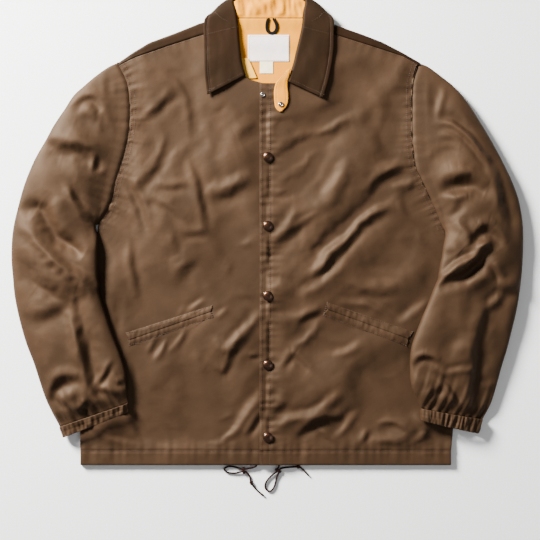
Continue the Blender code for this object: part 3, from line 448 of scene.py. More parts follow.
def front_cloth(x, y, over):
    """Height of a front's upper side with its creases, puckers and hem."""
    quiet = calm(x, y)
    z = top(x, y)
    if over:
        z = z + (1.2 + GAP + 1.8 * ease(52, 22, y)) * ease(50, UNDER_EDGE + 2, x)
    z0 = z
    z = z + quiet * FOLD * creases(x, y, BODY_CREASES)
    soft = np.where(x > 0, slanted(x, y, 72, 2.4, 40, 11), slanted(x, y, 72, 2.2, 118, 12))
    fine = slanted(x, y, 19, 3.0, 40, 21) + slanted(x, y, 17, 2.5, 118, 22)
    ridged = 0.12 - np.sqrt(slanted(x, y, 70, 2.0, 50, 31) ** 2 + RIDGE_ROUND)
    z = z + quiet * (13.5 * soft + 0.7 * fine) + quiet * 2.6 * ridged
    # Troughs end softly on the layer below
    floor = 3.3 + (z0 - 5.8).clip(0, 4) * 0.6
    z = floor + np.log1p(np.exp((z - floor) * 1.4)) / 1.4
    for line, seed in ((ARMHOLE_LEFT, 41), (ARMHOLE_RIGHT, 42)):
        beside = ease(0.6, 3.5, nearest(x, y, line)[0])
        short, long = puckers(x, y, line, 1.3, 5.5, 12, seed), puckers(x, y, line, 1.0, 16, 30, seed + 5)
        z = z + beside * (short + long)
    z = z + puckers(x, y, HEM_STITCH, 0.8, 9.0, 15, 51, 0.9)
    z = z + puckers(x, y, HEM_STITCH, 1.0, 26.0, 40, 52) * ease(0, 14, y)
    if over:
        z = z + puckers(x, y, PLACKET_STITCH, 1.0, 8.0, 11, 61, 0.6)
        z = z + puckers(x, y, PLACKET_EDGE, 0.8, 9.0, 8, 62)
    shoulder = SHOULDER_SEAM[:5] if not over else SHOULDER_SEAM[5:]
    z = z + puckers(x, y, shoulder, 0.5, 12.0, 16, 71)
    return z


def to_metres(p):
    return (np.asarray(p, dtype=float) - MIDDLE) * 0.001


def unit(v):
    return v / np.maximum(np.linalg.norm(v, axis=-1, keepdims=True), 1e-9)


def link(name, mesh):
    obj = bpy.data.objects.new(name, mesh)
    bpy.context.scene.collection.objects.link(obj)
    return obj


def add_mesh(name, points, faces, finish):
    """A smooth closed mesh that never goes below the table."""
    points = np.array(points, dtype=float)
    points[:, 2] = np.maximum(points[:, 2], MIDDLE[2])
    mesh = bpy.data.meshes.new(name)
    mesh.from_pydata(to_metres(points).tolist(), [], faces)
    mesh.materials.append(finish)
    mesh.update()
    mesh.shade_smooth()
    return link(name, mesh)


def cloth(name, grid, wall, finish, closed=False, flip=False):
    """A piece of cloth of even thickness below a grid of points, its cut edges rounded."""
    p = np.array(grid, dtype=float)
    p[..., 2] = np.maximum(p[..., 2], MIDDLE[2] + (0 if closed else wall))
    down = np.gradient(p, axis=0)
    if closed:
        over = np.roll(p, -1, axis=1) - np.roll(p, 1, axis=1)
    else:
        over = np.gradient(p, axis=1)
    n = unit(np.cross(over, down))
    if closed:
        away = p - p.mean(axis=1, keepdims=True)
        if (n * away).sum() < 0:
            n = -n
            flip = True
    elif flip:
        n = -n
    rows, cols = p.shape[:2]
    half = wall / 2
    index = np.arange(rows * cols).reshape(rows, cols)
    points = [p.reshape(-1, 3), (p - n * wall).reshape(-1, 3)]
    low = index + rows * cols
    turn = np.roll(index, -1, axis=1) if closed else index
    a, b = (index, turn) if closed else (index[:, :-1], index[:, 1:])
    quads = np.stack([a[:-1], b[:-1], b[1:], a[1:]], axis=-1).reshape(-1, 4)
    under = np.stack([a[:-1], a[1:], b[1:], b[:-1]], axis=-1).reshape(-1, 4) + rows * cols
    if flip:
        quads, under = quads[:, ::-1], under[:, ::-1]
    faces = [quads, under]
    if closed:
        ends = ((0, 1), (rows - 1, rows - 2))
        borders = [(index[r], unit(p[r] - p[s]), n[r], low[r]) for r, s in ends]
    else:
        rim = np.concatenate([index[0, :-1], index[:-1, -1], index[-1, :0:-1], index[:0:-1, 0]])
        out = np.zeros_like(p)
        out[0] += unit(p[0] - p[1])
        out[-1] += unit(p[-1] - p[-2])
        out[:, 0] += unit(p[:, 0] - p[:, 1])
        out[:, -1] += unit(p[:, -1] - p[:, -2])
        out = unit(out).reshape(-1, 3)
        borders = [(rim, out[rim], n.reshape(-1, 3)[rim], rim + rows * cols)]
    count = 2 * rows * cols
    flat = p.reshape(-1, 3)
    for which, (rim, out, normal, lower) in enumerate(borders):
        centre = flat[rim] - normal * half
        mids = []
        for angle in (35, -35):
            t = math.radians(angle)
            points.append(centre + half * (math.cos(t) * out + math.sin(t) * normal))
            mids.append(np.arange(len(rim)) + count)
            count += len(rim)
        chain = [rim, *mids, lower]
        reverse = (closed and which == 1) != flip
        for c, d in zip(chain[:-1], chain[1:], strict=True):
            e, f = np.roll(c, -1), np.roll(d, -1)
            strip = np.stack([c, d, f, e], axis=-1)
            faces.append(strip[:, ::-1] if reverse else strip)
    everything = np.vstack(faces).tolist()
    return add_mesh(name, np.vstack(points), everything, finish)


def srgb(text):
    """A hex colour as it looks on a screen, turned to the linear numbers a shader takes."""
    parts = [int(text[k : k + 2], 16) / 255 for k in (1, 3, 5)]
    linear = [c / 12.92 if c <= 0.04045 else ((c + 0.055) / 1.055) ** 2.4 for c in parts]
    return (*linear, 1.0)


def add_node(tree, kind, settings=None, inputs=None, links=None):
    """One node with its settings, its values and what feeds its inputs."""
    node = tree.nodes.new(kind)
    for key, value in (settings or {}).items():
        setattr(node, key, value)
    for key, value in (inputs or {}).items():
        node.inputs[key].default_value = value
    for key, source in (links or {}).items():
        tree.links.new(source, node.inputs[key])
    return node


def mottled(name, rough, dark, light, patch, detail, **sockets):
    """A finish whose colour wanders between two tones, in patches of so many millimetres."""
    m = bpy.data.materials.new(name)
    m.use_nodes = True
    tree = m.node_tree
    shader = tree.nodes["Principled BSDF"]
    shader.inputs["Roughness"].default_value = rough
    for key, value in sockets.items():
        shader.inputs[key.replace("_", " ")].default_value = value
    where = add_node(tree, "ShaderNodeTexCoord").outputs["Object"]
    patches = add_node(
        tree, "ShaderNodeTexNoise",
        inputs={"Scale": 1000 / patch, "Detail": detail, "Roughness": GRAIN}, links={"Vector": where},
    )
    tones = add_node(tree, "ShaderNodeValToRGB", links={"Fac": patches.outputs["Fac"]})
    for stop, position, tone in zip(tones.color_ramp.elements, (0.35, 0.65), (dark, light), strict=True):
        stop.position = position
        stop.color = srgb(tone)
    tree.links.new(tones.outputs["Color"], shader.inputs["Base Color"])
    return m, tree, shader, where


def woven(name, dark, light, rough, thread, slub, **sockets):
    """Cloth of crossed threads so many millimetres apart, with slubs and uneven colour."""
    dye_patch = 45.5
    m, tree, shader, where = mottled(name, rough, dark, light, dye_patch, 4.0, **sockets)
    weave = []
    for direction in ("X", "Y"):
        bands = add_node(
            tree, "ShaderNodeTexWave", {"bands_direction": direction, "wave_profile": "SIN"},
            {"Scale": BANDS_APART / thread, "Distortion": 0.4, "Detail": 1.0}, {"Vector": where},
        )
        weave.append(bands.outputs["Fac"])
    cross = add_node(tree, "ShaderNodeMath", {"operation": "MULTIPLY"}, links={0: weave[0], 1: weave[1]})
    uneven = add_node(
        tree, "ShaderNodeTexNoise",
        inputs={"Scale": 1000 / SLUB_SIZE, "Detail": 3.0, "Roughness": GRAIN}, links={"Vector": where},
    )
    slubs = add_node(
        tree, "ShaderNodeBump", inputs={"Strength": slub, "Distance": 0.0006},
        links={"Height": uneven.outputs["Fac"]},
    )
    threads = add_node(
        tree, "ShaderNodeBump", inputs={"Strength": 0.25, "Distance": 0.00012},
        links={"Height": cross.outputs["Value"], "Normal": slubs.outputs["Normal"]},
    )
    tree.links.new(threads.outputs["Normal"], shader.inputs["Normal"])
    return m


# Real threads lie about 0.15 mm apart, and are drawn coarser here so that a closer view shows them

# Fine crossed threads pressed flat, so the folds take a satin light
NYLON = woven(
    "calendered_nylon_taffeta", "#2D1E12", "#362518", 0.62, 0.7, 0.22,
    IOR=1.25, Specular_IOR_Level=0.8, Specular_Tint=(1.0, 0.76, 0.54, 1.0),
)
# The same cloth with a darker base colour and less shine: painted shade, as if turned away from the key
# light
SHADED_NYLON = woven(
    "nylon_taffeta_painted_shade", "#1A1008", "#21140B", 0.62, 0.7, 0.22,
    IOR=1.25, Specular_IOR_Level=0.35, Specular_Tint=(1.0, 0.7, 0.46, 1.0),
)
# Smooth filament cloth, dyed a warm tan that stays even in the light
LINING = woven("acetate_lining", "#CE8004", "#D68C0A", 0.55, 0.6, 0.25, Specular_IOR_Level=0.1)
# The lining cloth in a paler tan: a painted highlight on the facing, where its raised edge takes the light
LIT_LINING = woven("lining_painted_highlight", "#E0A236", "#E8B048", 0.55, 0.6, 0.25, Specular_IOR_Level=0.1)
# Dense matt cloth, nearly white
LABEL = woven("damask_label", "#EADCD4", "#F2E8E2", 0.6, 0.5, 0.3)
# Matt cotton, cream
TAB = woven("cream_size_tab", "#F4E3B4", "#FAECC4", 0.6, 0.5, 0.3)
# Flat woven tape that gives almost no light back
TAPE = woven("black_cotton_tape", "#0A0807", "#12100E", 0.8, 0.9, 0.4, IOR=1.15)
# Braid whose coarse plaits break up what little light it takes
CORD_FINISH = woven("braided_cotton_cord", "#160A08", "#24120E", 0.8, 0.9, 0.6, IOR=1.15)
# Spun thread a shade lighter than the cloth, so its rows show
THREAD = woven("polyester_thread", "#3A2718", "#463020", 0.5, 0.4, 0.2)
# The lining's thread, a shade duller than the cloth
PALE_THREAD = woven("tan_thread", "#C8822E", "#D49244", 0.5, 0.4, 0.2)
# Bright nickel, a little dulled
NICKEL = mottled("worn_nickel", 0.22, "#8B857E", "#C9C4BC", 2.38, 3.0, Metallic=1.0)[0]


def lacquered_brass():
    """Snap caps: drawn brass, browned and lacquered, with fine handling marks."""
    mark_size = 1.11
    m, tree, shader, where = mottled(
        "browned_brass", 0.2, "#3C271B", "#64432F", 3.33, 3.0, Metallic=1.0, Coat_Weight=0.6
    )
    marks = add_node(
        tree, "ShaderNodeTexNoise",
        inputs={"Scale": 1000 / mark_size, "Detail": 2.0, "Roughness": GRAIN}, links={"Vector": where},
    )
    rough = add_node(
        tree, "ShaderNodeMapRange", inputs={"To Min": 0.26, "To Max": 0.38},
        links={"Value": marks.outputs["Fac"]},
    )
    tree.links.new(rough.outputs["Result"], shader.inputs["Roughness"])
    return m


BRASS = lacquered_brass()


def seat_camera():
    """Straight above the jacket, as far away as a stand in a studio, with the photo's field."""
    lens, sensor, field = 85, 36, 0.810
    data = bpy.data.cameras.new("camera")
    data.lens = lens
    data.sensor_width = sensor
    cam = link("camera", data)
    cam.location = (*to_metres((*PHOTO_MIDDLE, 0))[:2], field * lens / sensor + 0.006)
    data.clip_start, data.clip_end = 0.05, 20
    bpy.context.scene.camera = cam


def add_light(name, spot, aim, size, power, colour):
    data = bpy.data.lights.new(name, "AREA")
    data.shape = "DISK"
    data.size = size
    data.energy = power
    data.color = colour
    obj = link(name, data)
    obj.location = spot
    obj.rotation_euler = (Vector(aim) - Vector(spot)).to_track_quat("-Z", "Y").to_euler()


def studio():
    """White table, one large soft light from the upper left and a weak one from the right."""
    table = bpy.data.meshes.new("table")
    reach, level = 4.0, -0.0004
    corners = [(x * reach, y * reach, level) for x, y in ((-1, -1), (1, -1), (1, 1), (-1, 1))]
    table.from_pydata(corners, [], [(0, 1, 2, 3)])
    table.materials.append(mottled("white_table", 0.7, "#FAFAFA", "#FDFDFD", 333, 2.0)[0])
    link("table", table)
    world = bpy.data.worlds.new("studio")
    world.use_nodes = True
    sky = world.node_tree.nodes["Background"].inputs
    sky["Color"].default_value = (1, 1, 1, 1)
    sky["Strength"].default_value = 0.27
    bpy.context.scene.world = world
    add_light("key", (-1.6, 1.4, 1.08), (0, 0, 0), 0.8, 440, (1.0, 0.985, 0.96))
    add_light("fill", (1.3, -0.6, 1.6), (0, 0, 0), 1.6, 6, (0.95, 0.97, 1.0))


def dress(obj, slot, *nodes):
    """Fix a piece to the jacket in place of the CAD nodes that it stands for."""
    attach(obj, "root")
    if nodes:
        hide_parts(*nodes)
    return obj


def level_line(x, y, z):
    """Points at each x, with y and z given once or for each."""
    return np.stack([x, x * 0 + y, x * 0 + z], axis=1)


def hem_turn(line, base, side):
    """Rows of the cloth turned at the hem, from the roll's edge to the raw edge inside."""
    turned = []
    for angle in (30, 60, 90, 120, 150, 180):
        t = math.radians(angle)
        y = HEM_ROLL - HEM_ROLL * math.sin(t)
        turned.append(level_line(line, y, base + side * HEM_ROLL * (1 - math.cos(t))))
    for y in (8.0, HEM_TURN):
        turned.append(level_line(line, y, base + side * 2 * HEM_ROLL))
    return turned[::-1]


def make_back():
    """The back panel and its two shoulder folds, which come over to the front shoulder seams."""
    across_shoulder = 50
    parts = [spread(BACK_TOP[:7], across_shoulder), spread(BACK_TOP[6:8], 3)[1:-1]]
    parts += [spread(BACK_TOP[7:10], 31), spread(BACK_TOP[9:11], 3)[1:-1]]
    tops = np.vstack([*parts, spread(BACK_TOP[10:], across_shoulder)])
    shoulder = (tops[:, 0] < NECK_POINTS[0]) | (tops[:, 0] > NECK_POINTS[1])

    def lift(x, y):
        return BACK_LIFT * ease(128, 98, np.abs(x - 2)) * ease(606, 640, y)

    roll = np.where(shoulder, (top(tops[:, 0], tops[:, 1] - 6) - lift(tops[:, 0], tops[:, 1] - 6)) / 2, 0.0)
    levels = [21, 57, 115, 175, 235, 295, 345, 364, 380, 396, 420, 444, 462, 482, 507, 532, 555]
    fall = [0.0] * len(levels) + [0.2, 0.45, 0.72, 1.0]
    levels += [570, 583, 595, 604]
    fine = np.interp(np.linspace(0, len(levels) - 1, 161), range(len(levels)), levels)
    shares = np.interp(np.linspace(0, len(levels) - 1, 161), range(len(levels)), fall)
    u = np.linspace(0, 1, len(tops))
    at_top = (tops[:, 0] - tops[0, 0]) / (tops[-1, 0] - tops[0, 0])
    rows = []
    for y, share in zip(fine, shares, strict=True):
        py = y + share * (tops[:, 1] - 604) - roll * share
        a, b = edges(np.minimum(py, y))
        hold = 2 * SEAM * ease(345, 362, y)
        x = (a + hold) + (b - a - 2 * hold) * (u + (at_top - u) * ease(450, 604, y))
        rows.append(level_line(x, py, lift(x, py) + under_waves(x, py)))
    line = rows[0][:, 0]
    start = [level_line(line, y, under_waves(line, line * 0 + y)) for y in (HEM_ROLL, 5, 10, 15)]
    obj = cloth("back_panel", np.array(hem_turn(line, 0, 1) + start + rows), WALL, NYLON)
    dress(obj, "nylon", "back")
    yokes = []
    for name, pick in (("left", slice(across_shoulder)), ("right", slice(-across_shoulder, None))):
        (x, y_top), r = tops[pick].T, roll[pick]
        folded = y_top - r
        strips = []
        for angle in (0, 25, 50, 75, 95, 115, 140, 160, 180):
            a = math.radians(angle)
            z = lift(x, folded) + r * (1 - math.cos(a))
            strips.append(level_line(x, folded + r * math.sin(a), z))
        seam = np.interp(x, SHOULDER_SEAM[:, 0], SHOULDER_SEAM[:, 1]) + SEAM
        for share in (0.25, 0.5, 0.75, 1.0):
            y = folded + (np.minimum(seam, folded - 1.0) - folded) * share
            z = front_cloth(x, y, name == "right")
            strips.append(level_line(x, y, z * share + top(x, y) * (1 - share)))
        # The shoulder folds take the nylon with painted shade, a darker copy of the cloth
        fold = cloth(f"shoulder_fold_{name}", np.array(strips), WALL, SHADED_NYLON)
        yokes.append(dress(fold, "nylon"))
    return obj, yokes


def under_waves(x, y):
    """Low waves of the back, which lies on the table: only upwards, and flat at its edges."""
    quiet = ease(0, 60, inside_by(x, y)) * ease(16, 70, y) * ease(640, 560, y)
    wave = slanted(x, y, 60, 2.5, 75, 81) + 0.6 * slanted(x, y, 32, 2.0, 110, 82)
    return quiet * 0.9 * np.maximum(wave, 0) ** 1.3


def make_front(name, node, upper, side):
    """A front: its grid runs from the hem's turn up to the shoulder seam and the neckline."""
    columns, count = 118, 262
    over = side > 0
    above = spread(upper, columns)
    outer, middle = (-1, 0) if over else (0, -1)
    seam = []
    for y in np.linspace(21, above[outer][1], 300):
        hold = SEAM * 0.5 * float(ease(345, 362, y))
        seam.append((float(edges(y)[outer]) - side * hold, y))
    seam = spread(seam, count)
    corner = above[middle]
    free = np.stack([np.full(count, corner[0]), np.linspace(21, corner[1], count)], 1)
    left, right = (seam, free) if side < 0 else (free, seam)
    above[0], above[-1] = left[-1], right[-1]
    u = np.linspace(0, 1, columns)[None, :, None]
    v = np.linspace(0, 1, count)[:, None, None]
    p = (left[0] * (1 - u) + right[0] * u) * (1 - v) + above[None] * v
    p = p + (left[:, None] - left[0] * (1 - v) - left[-1] * v) * (1 - u) ** 2
    p = p + (right[:, None] - right[0] * (1 - v) - right[-1] * v) * u**2
    z = front_cloth(p[..., 0], p[..., 1], over)
    rows = list(np.concatenate([p, z[..., None]], axis=2))
    line = rows[0][:, 0]
    start = [
        level_line(line, y, front_cloth(line, line * 0 + y, over))
        for y in (HEM_ROLL, 4, 7, 10, 13, 16, 18.5)
    ]
    base = front_cloth(line, line * 0 + HEM_ROLL, over)
    obj = cloth(name, np.array(hem_turn(line, base, -1) + start + rows), WALL, NYLON)
    return dress(obj, "nylon", node)


def across(outer, inner, share, hole, side):
    """Line over a sleeve from its outer edge to the underarm: the armhole's, then ever straighter."""
    chord = outer - inner
    length = np.linalg.norm(chord)
    steep = float(ease(0.5, 0.85, chord[1] / length))
    away = np.array([side, 0.25]) * steep + chord / length * (1 - steep)
    away = away / np.linalg.norm(away)
    near = outer - chord * 0.33
    far = inner + away * length * 0.3
    t = np.linspace(0, 1, 41)[:, None]
    line = outer * (1 - t) ** 3 + near * 3 * t * (1 - t) ** 2 + far * 3 * t * t * (1 - t) + inner * t**3
    line = spread(line, 41)
    cap = hole + (outer - hole[0]) * (1 - t) + (inner - hole[-1]) * t
    return spread(line * (1 - share) + cap * share, 41)


def under_sleeve(x, y):
    """Height a sleeve's lower side needs: the table, or the body where the sleeve lies on it."""
    return (top(x, y) + 1.3) * ease(-34, -10, inside_by(x, y)) * ease(352, 322, y)


def ring(line, tall, count):
    """Points round a sleeve, from its outer edge over the top to the underarm and back below."""
    a = 2 * math.pi * np.arange(count) / count
    s = 0.5 * (1 - np.cos(a))
    wave = np.abs(np.sin(a))
    along = np.linspace(0, 1, len(line))
    x, y = np.interp(s, along, line[:, 0]), np.interp(s, along, line[:, 1])
    low = under_sleeve(x, y)
    upper = low * (0.55 + 0.45 * (1 - wave)) + tall * (0.3 + 0.7 * wave**0.6)
    lower = low + 0.3 * tall * (1 - wave**0.5)
    return level_line(x, y, np.where(a <= math.pi, upper, lower)), a, wave


def armhole(side):
    """The armhole's line from the shoulder down, a little under the front's edge."""
    hole = []
    for y in np.linspace(604, 364 if side < 0 else 355, 41):
        under = 0.9 + (5.5 * float(ease(570, 594, y)) if side > 0 else 0.0)
        hole.append((float(edges(y)[0 if side < 0 else 1]) - side * under, y))
    return spread(hole, 41)


def make_sleeve(name, node, table, side):
    """A sleeve as a tube of rings, from the armhole's line to the cuff."""
    hole = armhole(side)
    seam_line = ARMHOLE_LEFT if side < 0 else ARMHOLE_RIGHT
    count, around = 206, 190
    slants = (140, 155) if side < 0 else (35, 20)
    grid = []
    for k, row in enumerate(bend(table, count)):
        share = float(min(max(row[4], 0.0), 1.0))
        line = across(row[0:2], row[2:4], share, hole, side)
        line = line + (hole - line) * float(ease(0.8, 1.0, share))
        points, a, wave = ring(line, float(row[5]), around)
        x, y = points[:, 0], points[:, 1]
        free = wave * float(ease(9, 20, row[5]))
        up = a <= math.pi
        soft = slanted(x, y, 40, 1.8, slants[0], 91 + side) * 4.6
        soft = soft + 0.7 * slanted(x, y, 18, 2.4, slants[1], 95 + side)
        soft = soft - 2.2 * np.sqrt(slanted(x, y, 48, 1.8, 60, 97) ** 2 + RIDGE_ROUND)
        shape = 1.05 * FOLD * creases(x, y, SLEEVE_CREASES)
        end = k / (count - 1)
        gather = float(ease(0.86, 1.0, end))
        girth = np.cumsum(np.hypot(np.gradient(x), np.gradient(y)))
        girth = np.where(up, girth, -np.arange(around) * 1.1)
        ripple = unrest(girth / 8.5, girth * 0 + (1 - end) * 4, 99 + side)
        rise = free * (soft * (1 - 0.6 * gather) + shape) + gather * 5.6 * ripple * wave**0.4
        if side > 0:
            rise = rise - free * 3.5 * np.cos(a)
        seam = puckers(x, y, seam_line, 0.8, 9.0, 24, 43 + side)
        z = points[:, 2] + np.where(up, rise + seam * wave, 0.25 * np.maximum(rise, 0) * wave)
        tucked = 1.5 * ease(-4.5, 0.4, inside_by(x, y)) * ease(340, 362, y)
        into_cuff = 7.0 * wave**0.5 * float(ease(0.955, 1.0, end))
        grid.append(level_line(x, y, z - np.where(up, tucked + into_cuff, 0.0)))
    obj = cloth(name, np.array(grid), WALL, NYLON, closed=True)
    return dress(obj, "nylon", node)


def make_cuff(name, cuff, side):
    """An elastic cuff: a short tube with gathers all round."""
    around, gathers, depth = 480, 42, 3.5
    seam, rim = (np.array(end, dtype=float) for end in cuff)
    s = np.linspace(0, 1, around + 1)[:-1] * gathers
    rows = []
    for v in np.linspace(0, 1, 16):
        ends = seam + (rim - seam) * v
        points = ring(ends.reshape(2, 2), 18.5 - 2.5 * v, around)[0]
        points = spread(np.vstack([points, points[:1]]), around + 1)[:-1]
        out = np.gradient(points[:, [0, 2]], axis=0)
        out = unit(np.stack([out[:, 1], -out[:, 0]], axis=1)) * side
        swell = math.sin(math.pi * (0.12 + 0.76 * v)) ** 0.6
        lift = depth * unrest(s + 0.5 * unrest(s / 4, s * 0, 7), s * 0 + v * 0.7, 111 + side) * swell
        lift = lift - 0.3 * math.exp(-(((v - 0.5) / 0.09) ** 2))
        points[:, 0] += out[:, 0] * lift
        points[:, 2] += 1.2 + out[:, 1] * lift
        points[:, 1] += 0.8 * unrest(s, s * 0 + 5, 115) * v
        rows.append(points)
    band = cloth(f"elastic_{name}", np.array(rows), 1.3, NYLON, closed=True)
    return dress(band, "nylon", name)


def make_collar():
    """The collar's leaf with its turned roll, its edge stitching and a little pucker along it."""
    count, turn = 230, 2.2
    grid = []
    for row in bend(COLLAR, count):
        roll, middle, rim = (row[j : j + 3] for j in (0, 3, 6))
        line = spread(bend([roll, middle, rim], 41), 34)
        inward = unit(roll[:2] - middle[:2])
        back = []
        for angle in (150, 120, 90, 60, 30):
            t = math.radians(angle)
            out = turn * math.sin(t)
            back.append((*(roll[:2] + inward * out), roll[2] - turn * (1 - math.cos(t))))
        grid.append(np.vstack([back, line]))
    p = np.array(grid)
    x, y = p[..., 0], p[..., 1]
    v = np.concatenate([np.zeros(5), np.linspace(0, 1, 34)])[None, :]
    wave = slanted(x, y, 26, 2.0, 80, 121) * 1.6 + 0.5 * slanted(x, y, 11, 2.5, 95, 122)
    front = ease(640, 610, y)
    stitched = 0.9
    groove = 0.5 * np.exp(-(((v - stitched) / 0.025) ** 2))
    pucker = unrest(np.arange(count)[:, None] * 0.33, v * 2, 123) * 1.3
    pucker = pucker * np.exp(-(((v - stitched) / 0.09) ** 2))
    lift = wave * ease(0.0, 0.3, v) * (0.4 + 0.6 * front) + 0.45 * pucker
    p[..., 2] += lift * ease(0, 0.15, v) - groove
    # The leaf takes the nylon with painted shade, as if it sloped away from the key light
    obj = cloth("collar_leaf", p, 1.6, SHADED_NYLON)
    return dress(obj, "nylon", "collar")


def seen(*objs):
    """Finished meshes as trees for casting rays, in the pattern's millimetres."""
    trees = []
    for obj in objs:
        points = [tuple(np.array(v.co) * 1000 + MIDDLE) for v in obj.data.vertices]
        trees.append(BVHTree.FromPolygons(points, [tuple(f.vertices) for f in obj.data.polygons]))
    return trees


def on_top(trees, x, y):
    """Height of the highest cloth at a point, or 0 where there is none."""
    best = 0.0
    for tree in trees:
        hit = tree.ray_cast(Vector((x, y, 90.0)), Vector((0, 0, -1)))[0]
        if hit is not None:
            best = max(best, hit.z)
    return best


def laid(trees, grid, lift, calm_by):
    """A grid in the plane laid on what is below it, a little above and evened out."""
    p = np.array(grid, dtype=float)
    z = np.array([[on_top(trees, x, y) for x, y in row] for row in p[..., :2]])
    for _ in range(calm_by):
        q = np.pad(z, 1, mode="edge")
        mean = (q[:-2, 1:-1] + q[2:, 1:-1] + q[1:-1, :-2] + q[1:-1, 2:]) / 4
        z = np.maximum(z, mean)
    return np.dstack([p[..., :2], z + lift])


def between(corners, across_count, up_count):
    """A grid in the plane between four corners."""
    a, b, c, d = (np.array(q, dtype=float) for q in corners)
    u = np.linspace(0, 1, across_count)[None, :, None]
    v = np.linspace(0, 1, up_count)[:, None, None]
    return (a * (1 - u) + b * u) * (1 - v) + (d * (1 - u) + c * u) * v


def make_neck(back_trees):
    """Lining of the back neck, and the collar's stand with its lining."""
    made = {}
    y, a, b = np.array((
        (550, -36, 36), (562, -46, 48), (580, -50, 52), (600, -52, 55),
        (622, -52, 57), (638, -51, 56), (648, -48, 54), (NECK_SEAM, -47, 53),
    )).T
    rows = []
    for level in np.linspace(y[0], NECK_SEAM, 60):
        x = np.linspace(np.interp(level, y, a), np.interp(level, y, b), 50)
        rows.append(level_line(x, level, 0))
    p = laid(back_trees, rows, 1.6, 3)
    x, y = p[..., 0], p[..., 1]
    p[..., 2] += 0.5 * np.maximum(slanted(x, y, 22, 1.8, 70, 131), -0.2) * ease(669, 655, y)
    p[..., 2] += 0.35 * unrest(x / 6, y / 14, 132) * ease(640, 668, y) + 2.0 * ease(648, 669, y)
    made["lining"] = dress(cloth("back_neck_lining", p, 0.8, LINING), "lining", "neck_lining")
    u = np.linspace(-1, 1, 90)
    for name, lift, wide, flare, tall, creased, wall, finish, slot, node in (
        ("collar_stand_shell", 4.6, 45.0, 2.5, 38.5, 0.1, 1.4, NYLON, "nylon", "collar_stand"),
        ("collar_stand_lining", 6.4, 49.0, 4.3, 37.5, 1, 0.8, LINING, "lining", "stand_lining"),
    ):
        rows = []
        for share in np.linspace(0, 1, 24):
            x = 2.5 + u * (wide + flare * share)
            y = 671 + share * (tall - 14 * np.abs(u) ** 2.5)
            crinkle = slanted(x, y, 8, 2.4, 100, 133) * 2.6 + slanted(x, y, 17, 1.6, 60, 134) * 2.6
            rows.append(level_line(x, y, lift + (crinkle + 0.6) * ease(0, 0.2, share) * creased))
        made[node] = dress(cloth(name, np.array(rows), wall, finish), slot, node)
    return made


def make_patches(lining_trees, front_trees):
    """The bare label, the bare size tab, the loop, the front's facing corner and the welts."""
    thin = 0.5
    p = laid(lining_trees, between(LABEL_CORNERS, 50, 34), 0.9, 2)
    p[..., 2] += 0.3 * slanted(p[..., 0], p[..., 1], 20, 2.0, 80, 141)
    dress(cloth("bare_label", p, thin, LABEL), "label", "label")
    p = laid(lining_trees, between(SIZE_TAB_CORNERS, 22, 22), 0.8, 2)
    p[..., 2] += 0.25 * unrest(p[..., 0] / 8, p[..., 1] / 8, 142)
    dress(cloth("size_tab_bare", p, thin, TAB), "label", "size_tab")
    count, half = 60, 2.1
    line = bend(LOOP, count)
    rows = []
    for k, q in enumerate(line):
        step = line[min(k + 1, count - 1)] - line[max(k - 1, 0)]
        side = np.array([-step[1], step[0]]) / np.linalg.norm(step)
        rows.append([q + side * w for w in np.linspace(-half, half, 7)])
    p = laid(lining_trees, rows, 1.5, 1)
    dress(cloth("hanging_loop", p, 0.9, TAPE, flip=True), "black_tape", "hang_loop")
    p = laid(lining_trees, between(FACING_CORNERS, 24, 30), 1.2, 2)
    p[..., 2] += 0.9 * ease(0.2, 1, np.linspace(0, 1, 24))[None, :]
    p[..., 2] += 0.3 * unrest(p[..., 0] / 7, p[..., 1] / 9, 143)
    # The facing corner takes the paler lining, a painted highlight
    dress(cloth("front_facing_corner", p, 0.7, LIT_LINING), "lining")
    for side, top_a, top_b, mid_a, mid_b, low_a, low_b in WELTS:
        for name, lip, corners in (
            ("upper", 0.9, (mid_a, mid_b, top_b, top_a)),
            ("lower", 0.1, (low_a, low_b, mid_b, mid_a)),
        ):
            p = laid(front_trees, between(corners, 90, 10), 0.25, 1)
            v = np.linspace(0, 1, 10)[:, None]
            mouth = v if name == "lower" else 1 - v
            swell = np.sin(np.pi * mouth * 0.85) + lip * mouth**2
            x, y = p[..., 0], p[..., 1]
            p[..., 2] += swell * (0.8 + 0.3 * unrest(x / 14, y / 9, 145)) + 0.7 * unrest(x / 5, y / 12, 146)
            dress(cloth(f"welt_{name}_{side}", p, 0.8, NYLON), "nylon", f"welt_{side}_{name}")


def make_chin_tab(level):
    """The throat tab: doubled lining cloth with a row of stitches inside its edge."""
    u = np.linspace(-1, 1, 22)
    p = np.array([level_line(x + half * u, y + u, level) for x, y, half in bend(CHIN_TAB, 90)])
    x, y = p[..., 0], p[..., 1]
    p[..., 2] += 0.5 * (1 - np.abs(u) ** 6) - 0.45 * np.exp(-(((np.abs(u) - 0.72) / 0.07) ** 2))
    p[..., 2] += 0.4 * unrest(x / 9, y / 13, 151) + 2.0 * ease(560, 588, y)
    return dress(cloth("throat_tab", p, 1.5, LINING, flip=True), "lining", "chin_tab")


def tube_faces(rows, steps):
    """Quads between neighbouring rings, with the rings' point numbers."""
    index = np.arange(rows * steps).reshape(rows, steps)
    turn = np.roll(index, -1, axis=1)
    quads = np.stack([index[:-1], turn[:-1], turn[1:], index[1:]], axis=-1)
    return quads.reshape(-1, 4).tolist(), index, turn


def turned_piece(name, profile, centre, finish, steps=48):
    """A piece turned on a lathe: its profile from the rim to the middle, as radius and height."""
    a = 2 * math.pi * np.arange(steps) / steps
    x, y, z = centre
    points = [level_line(x + r * np.cos(a), y + r * np.sin(a), z + h) for r, h in profile]
    faces, index, _ = tube_faces(len(profile), steps)
    faces += [index[0, ::-1].tolist(), index[-1].tolist()]
    return add_mesh(name, np.vstack(points), faces, finish)


